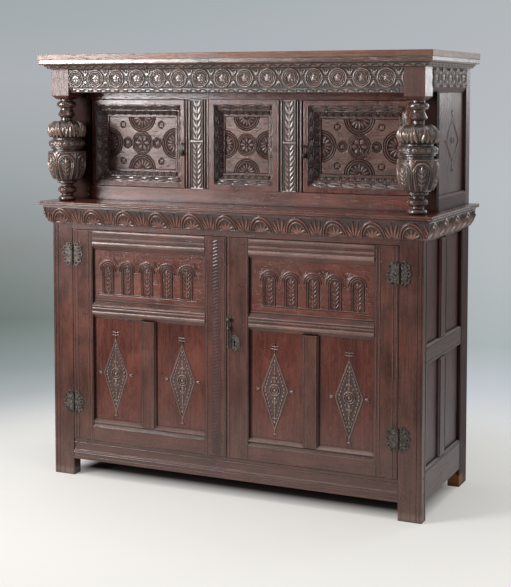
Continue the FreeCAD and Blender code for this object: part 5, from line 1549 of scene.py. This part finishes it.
def door_mouldings():
    """Beads, flats and the sloping sill of the left lower door."""
    door = [bead(at, *STILE_BEAD, 0.150, 0.962, up_front)
            for at in (-0.655, -0.641, -0.592, -0.580, -0.0815, -0.0095)]
    door += [bead(at, *MUNTIN_BEAD, 0.221, 0.624, up_front) for at in (-0.3545, -0.307)]
    low, high = -0.5725, -0.0890
    for level, half, rise, flat in (
            (0.9140, 0.0095, 0.0042, False), (0.9345, 0.0045, 0.0022, True),
            (0.9560, 0.0070, 0.0018, True), (0.6745, 0.0034, 0.0030, False),
            (0.6640, 0.0040, 0.0016, True), (0.6480, 0.0075, 0.0036, False),
            (0.2005, 0.0026, 0.0020, False)):
        door.append(bead(level, half, rise, low, high, along_front, flat))
    door.append(bead(0.6965, 0.0024, 0.0042, low, high, along_panel))
    slope = [(0.2165, -0.001), (0.2165, 0.0116), (0.2195, 0.0122), (0.2330, 0.0008),
             (0.2330, -0.001)]
    return door + [strip(slope, low, -0.3550, along_panel),
                   strip(slope, -0.3065, high, along_panel)]


def run_mouldings():
    """Beads and flats worked along the stiles, rails, muntins, legs and the bottom rail."""
    door = door_mouldings()
    door_pair("lower", "mouldings", mesh_of("lower_door_left_mouldings", door, 50),
              FINISHES["moulding"],
              mesh_of("lower_door_right_mouldings", [mirrored(part) for part in door], 50))
    leg_foot, leg_top = 0.004, 0.982
    cabinet = both([bead(at, *STILE_BEAD, leg_foot, leg_top, up_front)
                    for at in (-0.742, -0.728)])
    for level, half, rise in ((0.0900, 0.0030, 0.0020), (0.0770, 0.0022, 0.0014),
                              (0.1300, 0.0024, 0.0026)):
        front = FRONT + (0.004 if level > 0.1 else 0.0)
        cabinet.append(bead(level, half, rise, -0.6625, 0.6625,
                            lambda a, o, l, front=front: (l, front - o, a)))
    sides = [bead(level, *STILE_BEAD, -0.217, 0.207, along_side)
             for level in (0.1720, 0.5560, 0.6060, 0.9860)]
    sides += [bead(place, *MUNTIN_BEAD, low, high, up_side) for place in (-0.050, 0.010)
              for low, high in ((0.190, 0.538), (0.624, 0.969))]
    sides.append(bead(-0.2290, *STILE_BEAD, leg_foot, leg_top, up_side))
    sides.append(bead(0.2190, *STILE_BEAD, 0.060, leg_top, up_side))
    piece("cabinet_mouldings", mesh_of("cabinet_mouldings", cabinet, 50),
          FINISHES["frameZ"], "cabinet")
    piece("side_mouldings", mesh_of("side_mouldings", both(sides), 50), FINISHES["sideZ"],
          "cabinet")


def carve_upper_sides():
    """A lozenge drawn in double lines, with finials, on each upper side panel."""
    us, vs = lattice(0.196, 0.260, 0.0017)
    x, z, h = ground(us, vs)
    away = (1 - np.abs(x) / 0.083 - np.abs(z) / 0.084) * 0.059
    h = rib(h, away, 0.0022, 0.0020)
    h = rib(h, away - 0.0075, 0.0018, 0.0016)
    h = ring(h, x, z, 0, 0, 0.0160, 0.0022, 0.0020)
    h = ball_top(h, x, z, 0, 0, 0.0060, 0.0022)
    for turn in range(4):
        angle = turn * math.pi / 2
        spot = (0.0905 * math.cos(angle), 0.0925 * math.sin(angle))
        h = ring(h, x, z, *spot, 0.0050, 0.0018, 0.0018)
        if turn % 2:
            for lean in (-0.7, 0, 0.7):
                h = leaf(h, x, z, spot, angle + lean, 0.026, 0.0036, 0.0018)
    part = shell(us, vs, h, on_right(HALF - 0.012, 0.110, 1.317))
    piece("upper_side_lozenges", mesh_of("upper_side_lozenges", both([part])),
          FINISHES["drawn"], "cabinet")


# Small fasteners

def peg_mesh(radius, axis):
    """A riven peg's end along X or Y: a many-sided stub with a slightly domed top."""
    form = bmesh.new()
    sides, proud = 9, 0.0010
    loops = []
    for share, rise in ((1.0, -0.002), (1.0, proud * 0.6), (0.82, proud)):
        angles = [2 * math.pi * k / sides for k in range(sides)]
        loops.append([form.verts.new((radius * share * math.cos(angle),
                                      radius * share * math.sin(angle), rise))
                      for angle in angles])
    for low, high in zip(loops, loops[1:]):
        for k in range(sides):
            j = (k + 1) % sides
            form.faces.new((low[k], low[j], high[j], high[k]))
    form.faces.new(loops[0][::-1])
    form.faces.new(loops[-1])
    mesh = bpy.data.meshes.new("peg")
    form.to_mesh(mesh)
    form.free()
    mesh.transform(Matrix.Rotation(math.pi / 2, 4, "X" if axis == "Y" else "Y"))
    return mesh


def add_pegs():
    """Pegs through the joints of the case and of the lower doors."""
    radius = bpy.context.scene.cupboard_sizes.peg_radius
    finish = FINISHES["frontZ"]
    front = peg_mesh(radius, "Y")
    cabinet = [(sx * 0.685, FRONT, z) for sx in (-1, 1) for z in (0.082, 0.112)]
    cabinet += [(sx * 0.675, RECESS, z) for sx in (-1, 1) for z in (1.090, 1.112, 1.478)]
    made = [scatter("pegs_front", front, cabinet, (0, 1, 0), finish)]
    spots = []
    for z in (0.095, 0.155, 0.566, 0.598, 0.970):
        spots += [(HALF, FRONT + 0.022, z), (HALF, BACK - 0.070, z)]
    spots += [(HALF, -0.02, z) for z in (0.172, 0.566, 0.596)]
    sides = scatter("pegs_side", peg_mesh(radius, "X"), spots, (1, 0, 0), finish)
    made += [sides, flipped(sides)]
    piece("cabinet_pegs", merged("cabinet_pegs", made), finish, "cabinet")
    door = []
    for z in (0.165, 0.190, 0.643, 0.676, 0.905, 0.945):
        door += [(-0.600, FRONT, z), (-0.0700, FRONT, z)]
    door_pair("lower", "pegs", scatter("door_pegs", front, door, (0, 1, 0), finish), finish)


def nail_mesh(radius, proud):
    """A flattened nail head that looks to -Y."""
    form = bmesh.new()
    bmesh.ops.create_uvsphere(form, u_segments=10, v_segments=6, radius=radius)
    for vert in form.verts:
        vert.co.z *= proud / radius
    mesh = bpy.data.meshes.new("nail")
    form.to_mesh(mesh)
    form.free()
    mesh.transform(Matrix.Rotation(math.pi / 2, 4, "X"))
    mesh.shade_smooth()
    return mesh


def add_nails():
    """Nails through the hinge leaves and the escutcheon."""
    finish = FINISHES["nail"]
    nail = nail_mesh(0.0030, 0.0018)
    face = FRONT - 0.0025
    door, post = ([(at, face, middle + rise) for middle in HINGE_LEVELS
                   for rise in (-0.020, 0.0, 0.020)] for at in (-0.650, -0.674))
    left = scatter("door_nails", nail, door, (0, 1, 0), finish)
    piece("lower_door_left_nails", left, finish, "lower_door_left")
    plate = [(x, FRONT - 0.002, z) for z in (0.560, 0.598) for x in (0.018, 0.050)]
    right = [flipped(left),
             scatter("plate_nails", nail_mesh(0.002, 0.0012), plate, (0, 1, 0), finish)]
    piece("lower_door_right_nails", merged("lower_door_right_nails", right), finish,
          "lower_door_right")
    posts = scatter("post_nails", nail, post, (0, 1, 0), finish)
    piece("post_nails", merged("post_nails", [posts, flipped(posts)]), finish, "cabinet")


# Studio

FLOOR_PALE = (0.90, 0.875, 0.835, 1)
# Painted shadow on the floor under the cupboard
FLOOR_PAINTED_SHADOW = (0.10, 0.085, 0.08, 1)
FLOOR_REACH = 4.5
FLOOR_FADE = (0.84, 1.9)
# Share of the floor's tone that doesn't hang on the lamps
FLOOR_GLOW = 0.38
# Backdrop tones by the height of the line of sight, to the left of the object and beside it;
# the dark band low on the left is painted shade
BACKDROP_LEFT_SHADED = (
    (-0.300, (0.91, 0.88, 0.84)), (-0.272, (0.86, 0.84, 0.82)),
    (-0.253, (0.66, 0.67, 0.67)), (-0.231, (0.45, 0.48, 0.49)),
    (-0.205, (0.27, 0.31, 0.31)), (-0.170, (0.155, 0.19, 0.175)),
    (-0.117, (0.25, 0.27, 0.265)), (-0.065, (0.34, 0.37, 0.38)),
    (0.010, (0.42, 0.44, 0.47)), (0.080, (0.35, 0.40, 0.41)))
BACKDROP_RIGHT = (
    (-0.320, (0.91, 0.88, 0.84)), (-0.290, (0.83, 0.84, 0.82)),
    (-0.270, (0.74, 0.77, 0.79)), (-0.245, (0.68, 0.71, 0.74)),
    (-0.222, (0.56, 0.59, 0.64)), (-0.190, (0.41, 0.46, 0.47)),
    (-0.130, (0.47, 0.50, 0.52)), (-0.070, (0.49, 0.52, 0.55)),
    (0.010, (0.47, 0.49, 0.52)), (0.080, (0.44, 0.47, 0.49)))


def lamp(name, place, target, size, power):
    """A soft box that the camera doesn't see."""
    data = bpy.data.lights.new(name, "AREA")
    data.shape = "RECTANGLE"
    data.size, data.size_y = size
    data.energy = power
    obj = bpy.data.objects.new(name, data)
    bpy.context.scene.collection.objects.link(obj)
    obj.location = place
    obj.rotation_euler = (Vector(target) - Vector(place)).to_track_quat("-Z", "Y").to_euler()
    obj.visible_camera = False


def tone_ramp(tree, value, stops):
    """A colour that follows a value through (value, colour) stops."""
    low, high = stops[0][0], stops[-1][0]
    tones = tree.nodes.new("ShaderNodeValToRGB")
    elements = tones.color_ramp.elements
    for _ in stops[2:]:
        elements.new(0.5)
    for element, (at, colour) in zip(elements, stops):
        element.position = (at - low) / (high - low)
        element.color = (*colour, 1)
    link(tree, (levels_node(tree, value, low, high), tones.inputs["Fac"]))
    return tones.outputs["Color"]


def make_world(haze):
    """A grey backdrop with painted shade low on the left, dim for the front's light."""
    world = bpy.data.worlds.new("Studio")
    bpy.context.scene.world = world
    world.use_nodes = True
    tree = world.node_tree
    tree.nodes.clear()
    add = tree.nodes.new
    levels, blend, maths = node_makers(tree)
    out = add("ShaderNodeOutputWorld")
    coord = add("ShaderNodeTexCoord")
    split = add("ShaderNodeSeparateXYZ")
    link(tree, (coord.outputs["Generated"], split.inputs[0]))
    aside = maths("ABSOLUTE", maths("ADD", split.outputs["X"], 0.24))
    tone = blend("MIX", levels(aside, 0.34, 0.0),
                 tone_ramp(tree, split.outputs["Z"], BACKDROP_LEFT_SHADED),
                 tone_ramp(tree, split.outputs["Z"], BACKDROP_RIGHT))
    strength = maths("MAXIMUM", levels(split.outputs["Y"], -0.3, 0.5, haze, 1.0),
                     seen_by(tree, "Is Camera Ray", "Is Transmission Ray"))
    seen = add("ShaderNodeBackground")
    link(tree, (tone, seen.inputs["Color"]), (strength, seen.inputs["Strength"]),
         (seen.outputs[0], out.inputs["Surface"]))


def make_floor():
    """A pale round floor with a painted shadow under the cupboard, that fades out into the
    backdrop.
    """
    mesh = bpy.data.meshes.new("floor")
    sides = 48
    rim = [(math.cos(2 * math.pi * k / sides) * FLOOR_REACH,
            math.sin(2 * math.pi * k / sides) * FLOOR_REACH, -0.0005) for k in range(sides)]
    mesh.from_pydata(rim, [], [tuple(range(sides))])
    floor = bpy.data.objects.new("floor", mesh)
    bpy.context.scene.collection.objects.link(floor)
    mat = bpy.data.materials.new("Pale floor")
    mat.use_nodes = True
    tree = mat.node_tree
    tree.nodes.clear()
    add = tree.nodes.new
    levels, blend, maths = node_makers(tree)
    out = add("ShaderNodeOutputMaterial")
    coord = add("ShaderNodeTexCoord")
    split = add("ShaderNodeSeparateXYZ")
    reach = add("ShaderNodeVectorMath")
    reach.operation = "LENGTH"
    link(tree, (coord.outputs["Object"], split.inputs[0]),
         (coord.outputs["Object"], reach.inputs[0]))
    fade = levels(reach.outputs["Value"], *FLOOR_FADE)
    fade.node.interpolation_type = "SMOOTHSTEP"
    # A painted shadow darkens the floor under the cupboard
    painted_shadow_sides = []
    for axis, middle, inner, outer in (("X", 0.0, 0.66, 0.75), ("Y", 0.02, 0.16, 0.28)):
        away = maths("ABSOLUTE", maths("SUBTRACT", split.outputs[axis], middle))
        painted_shadow_sides.append(levels(away, outer, inner))
    under = maths("MULTIPLY", *painted_shadow_sides)
    lit = add("ShaderNodeBsdfDiffuse")
    link(tree, (blend("MIX", under, FLOOR_PALE, FLOOR_PAINTED_SHADOW), lit.inputs["Color"]))
    glow = add("ShaderNodeEmission")
    glow.inputs["Color"].default_value = FLOOR_PALE
    seen = seen_by(tree, "Is Camera Ray", "Is Glossy Ray", "Is Transmission Ray")
    even = add("ShaderNodeMixShader")
    link(tree, (maths("MULTIPLY", seen, levels(under, 0.0, 1.0, FLOOR_GLOW, 0.0)),
                even.inputs["Fac"]),
         (lit.outputs[0], even.inputs[1]), (glow.outputs[0], even.inputs[2]))
    clear = add("ShaderNodeBsdfTransparent")
    mix = add("ShaderNodeMixShader")
    link(tree, (fade, mix.inputs["Fac"]), (even.outputs[0], mix.inputs[1]),
         (clear.outputs[0], mix.inputs[2]), (mix.outputs[0], out.inputs["Surface"]))
    mesh.materials.append(mat)


def make_studio():
    """The camera of the photograph, four lamps, the backdrop and the floor."""
    scene = bpy.context.scene
    scene.view_settings.view_transform = "Standard"
    studio = scene.cupboard_studio
    data = bpy.data.cameras.new("Camera")
    data.sensor_width = SENSOR
    data.sensor_fit = "AUTO"
    data.lens = studio.lens
    data.shift_x = (PHOTO_WIDE / 2 - PHOTO_CENTRE[0]) / PHOTO_TALL
    data.shift_y = -(PHOTO_TALL / 2 - PHOTO_CENTRE[1]) / PHOTO_TALL
    data.clip_start, data.clip_end = 0.05, 60
    camera = bpy.data.objects.new("Camera", data)
    scene.collection.objects.link(camera)
    yaw, pitch = studio.yaw, studio.pitch
    ahead = Vector((-math.sin(yaw) * math.cos(pitch), math.cos(yaw) * math.cos(pitch),
                    math.sin(pitch)))
    camera.location = studio.camera_place
    camera.rotation_euler = ahead.to_track_quat("-Z", "Y").to_euler()
    scene.camera = camera
    lamp("Key", (-2.85, -3.5, 2.0), (0, 0, 0.9), (1.4, 1.8), studio.key_power)
    lamp("Rim", (2.2, 2.8, 2.1), (0.75, 0, 1.3), (1.2, 1.4), studio.rim_power)
    lamp("Fill", (3.4, -1.4, 1.9), (0, 0, 0.9), (1.6, 2.0), studio.fill_power)
    lamp("Top", (0.0, -0.6, 3.9), (0, -0.3, 0.0), (3.4, 2.6), studio.top_power)
    make_world(studio.haze)
    make_floor()


# Operators, in the order in which they run

class CUPBOARD_OT_finishes(bpy.types.Operator):
    """Make the oak and iron finishes and the repeat trees"""
    bl_idname = "cupboard.finishes"
    bl_label = "Finishes"

    def execute(self, context):
        make_finishes()
        return {"FINISHED"}


class CUPBOARD_OT_dress(bpy.types.Operator):
    """Give every joined piece its finish"""
    bl_idname = "cupboard.dress"
    bl_label = "Dress the frame"

    def execute(self, context):
        dress_frame()
        return {"FINISHED"}


class CUPBOARD_OT_friezes(bpy.types.Operator):
    """Carve the roundels of the front and side friezes"""
    bl_idname = "cupboard.friezes"
    bl_label = "Friezes"

    def execute(self, context):
        carve_front_frieze()
        carve_side_friezes()
        return {"FINISHED"}


class CUPBOARD_OT_mouldings(bpy.types.Operator):
    """Cut the crescents of the frieze's foot and the cornice's bed"""
    bl_idname = "cupboard.mouldings"
    bl_label = "Cut mouldings"

    def execute(self, context):
        carve_mouldings()
        return {"FINISHED"}


class CUPBOARD_OT_ledge(bpy.types.Operator):
    """Carve the lunettes of the ledge moulding and the beads of its board"""
    bl_idname = "cupboard.ledge"
    bl_label = "Ledge moulding"

    def execute(self, context):
        carve_ledge()
        return {"FINISHED"}


class CUPBOARD_OT_columns(bpy.types.Operator):
    """Carve the cups, collars and covers of the columns"""
    bl_idname = "cupboard.columns"
    bl_label = "Columns"

    def execute(self, context):
        carve_columns()
        return {"FINISHED"}


class CUPBOARD_OT_upper_doors(bpy.types.Operator):
    """Carve the upper fields and their sloping borders"""
    bl_idname = "cupboard.upper_doors"
    bl_label = "Upper doors"

    def execute(self, context):
        carve_upper_doors()
        return {"FINISHED"}


class CUPBOARD_OT_pilasters(bpy.types.Operator):
    """Carve the leaf strips beside the upper doors"""
    bl_idname = "cupboard.pilasters"
    bl_label = "Pilasters"

    def execute(self, context):
        carve_pilasters()
        return {"FINISHED"}


class CUPBOARD_OT_lower_doors(bpy.types.Operator):
    """Carve the arcades, the lozenges and the scaled strip"""
    bl_idname = "cupboard.lower_doors"
    bl_label = "Lower doors"

    def execute(self, context):
        carve_lower_doors()
        return {"FINISHED"}


class CUPBOARD_OT_run_mouldings(bpy.types.Operator):
    """Work the beads along stiles, rails and legs"""
    bl_idname = "cupboard.run_mouldings"
    bl_label = "Run mouldings"

    def execute(self, context):
        run_mouldings()
        return {"FINISHED"}


class CUPBOARD_OT_upper_sides(bpy.types.Operator):
    """Carve the lozenges of the upper sides"""
    bl_idname = "cupboard.upper_sides"
    bl_label = "Upper sides"

    def execute(self, context):
        carve_upper_sides()
        return {"FINISHED"}


class CUPBOARD_OT_pegs(bpy.types.Operator):
    """Drive the oak pegs"""
    bl_idname = "cupboard.pegs"
    bl_label = "Pegs"

    def execute(self, context):
        add_pegs()
        return {"FINISHED"}


class CUPBOARD_OT_nails(bpy.types.Operator):
    """Drive the iron nails"""
    bl_idname = "cupboard.nails"
    bl_label = "Nails"

    def execute(self, context):
        add_nails()
        return {"FINISHED"}


class CUPBOARD_OT_studio(bpy.types.Operator):
    """Make the camera, the lamps, the backdrop and the floor"""
    bl_idname = "cupboard.studio"
    bl_label = "Studio"

    def execute(self, context):
        make_studio()
        return {"FINISHED"}


OPERATORS = (
    CUPBOARD_OT_finishes, CUPBOARD_OT_dress, CUPBOARD_OT_friezes, CUPBOARD_OT_mouldings,
    CUPBOARD_OT_ledge, CUPBOARD_OT_columns, CUPBOARD_OT_upper_doors, CUPBOARD_OT_pilasters,
    CUPBOARD_OT_lower_doors, CUPBOARD_OT_run_mouldings, CUPBOARD_OT_upper_sides,
    CUPBOARD_OT_pegs, CUPBOARD_OT_nails, CUPBOARD_OT_studio)


class CUPBOARD_PT_panel(bpy.types.Panel):
    """The operators in the order in which they run"""
    bl_label = "Court cupboard"
    bl_idname = "CUPBOARD_PT_panel"
    bl_space_type = "VIEW_3D"
    bl_region_type = "UI"
    bl_category = "Cupboard"

    def draw(self, context):
        for kind in OPERATORS:
            self.layout.operator(kind.bl_idname)


SETTINGS = (("cupboard_sizes", CupboardSizes), ("cupboard_finish", CupboardFinish),
            ("cupboard_studio", StudioSettings))


def register():
    for name, kind in SETTINGS:
        bpy.utils.register_class(kind)
        setattr(bpy.types.Scene, name, bpy.props.PointerProperty(type=kind))
    for kind in OPERATORS:
        bpy.utils.register_class(kind)
    bpy.utils.register_class(CUPBOARD_PT_panel)


def unregister():
    bpy.utils.unregister_class(CUPBOARD_PT_panel)
    for kind in reversed(OPERATORS):
        bpy.utils.unregister_class(kind)
    for name, kind in reversed(SETTINGS):
        delattr(bpy.types.Scene, name)
        bpy.utils.unregister_class(kind)


def main():
    register()
    cupboard = bpy.ops.cupboard
    cupboard.finishes()
    cupboard.dress()
    cupboard.friezes()
    cupboard.mouldings()
    cupboard.ledge()
    cupboard.columns()
    cupboard.upper_doors()
    cupboard.pilasters()
    cupboard.lower_doors()
    cupboard.run_mouldings()
    cupboard.upper_sides()
    cupboard.pegs()
    cupboard.nails()
    cupboard.studio()


if __name__ == "__main__":
    main()
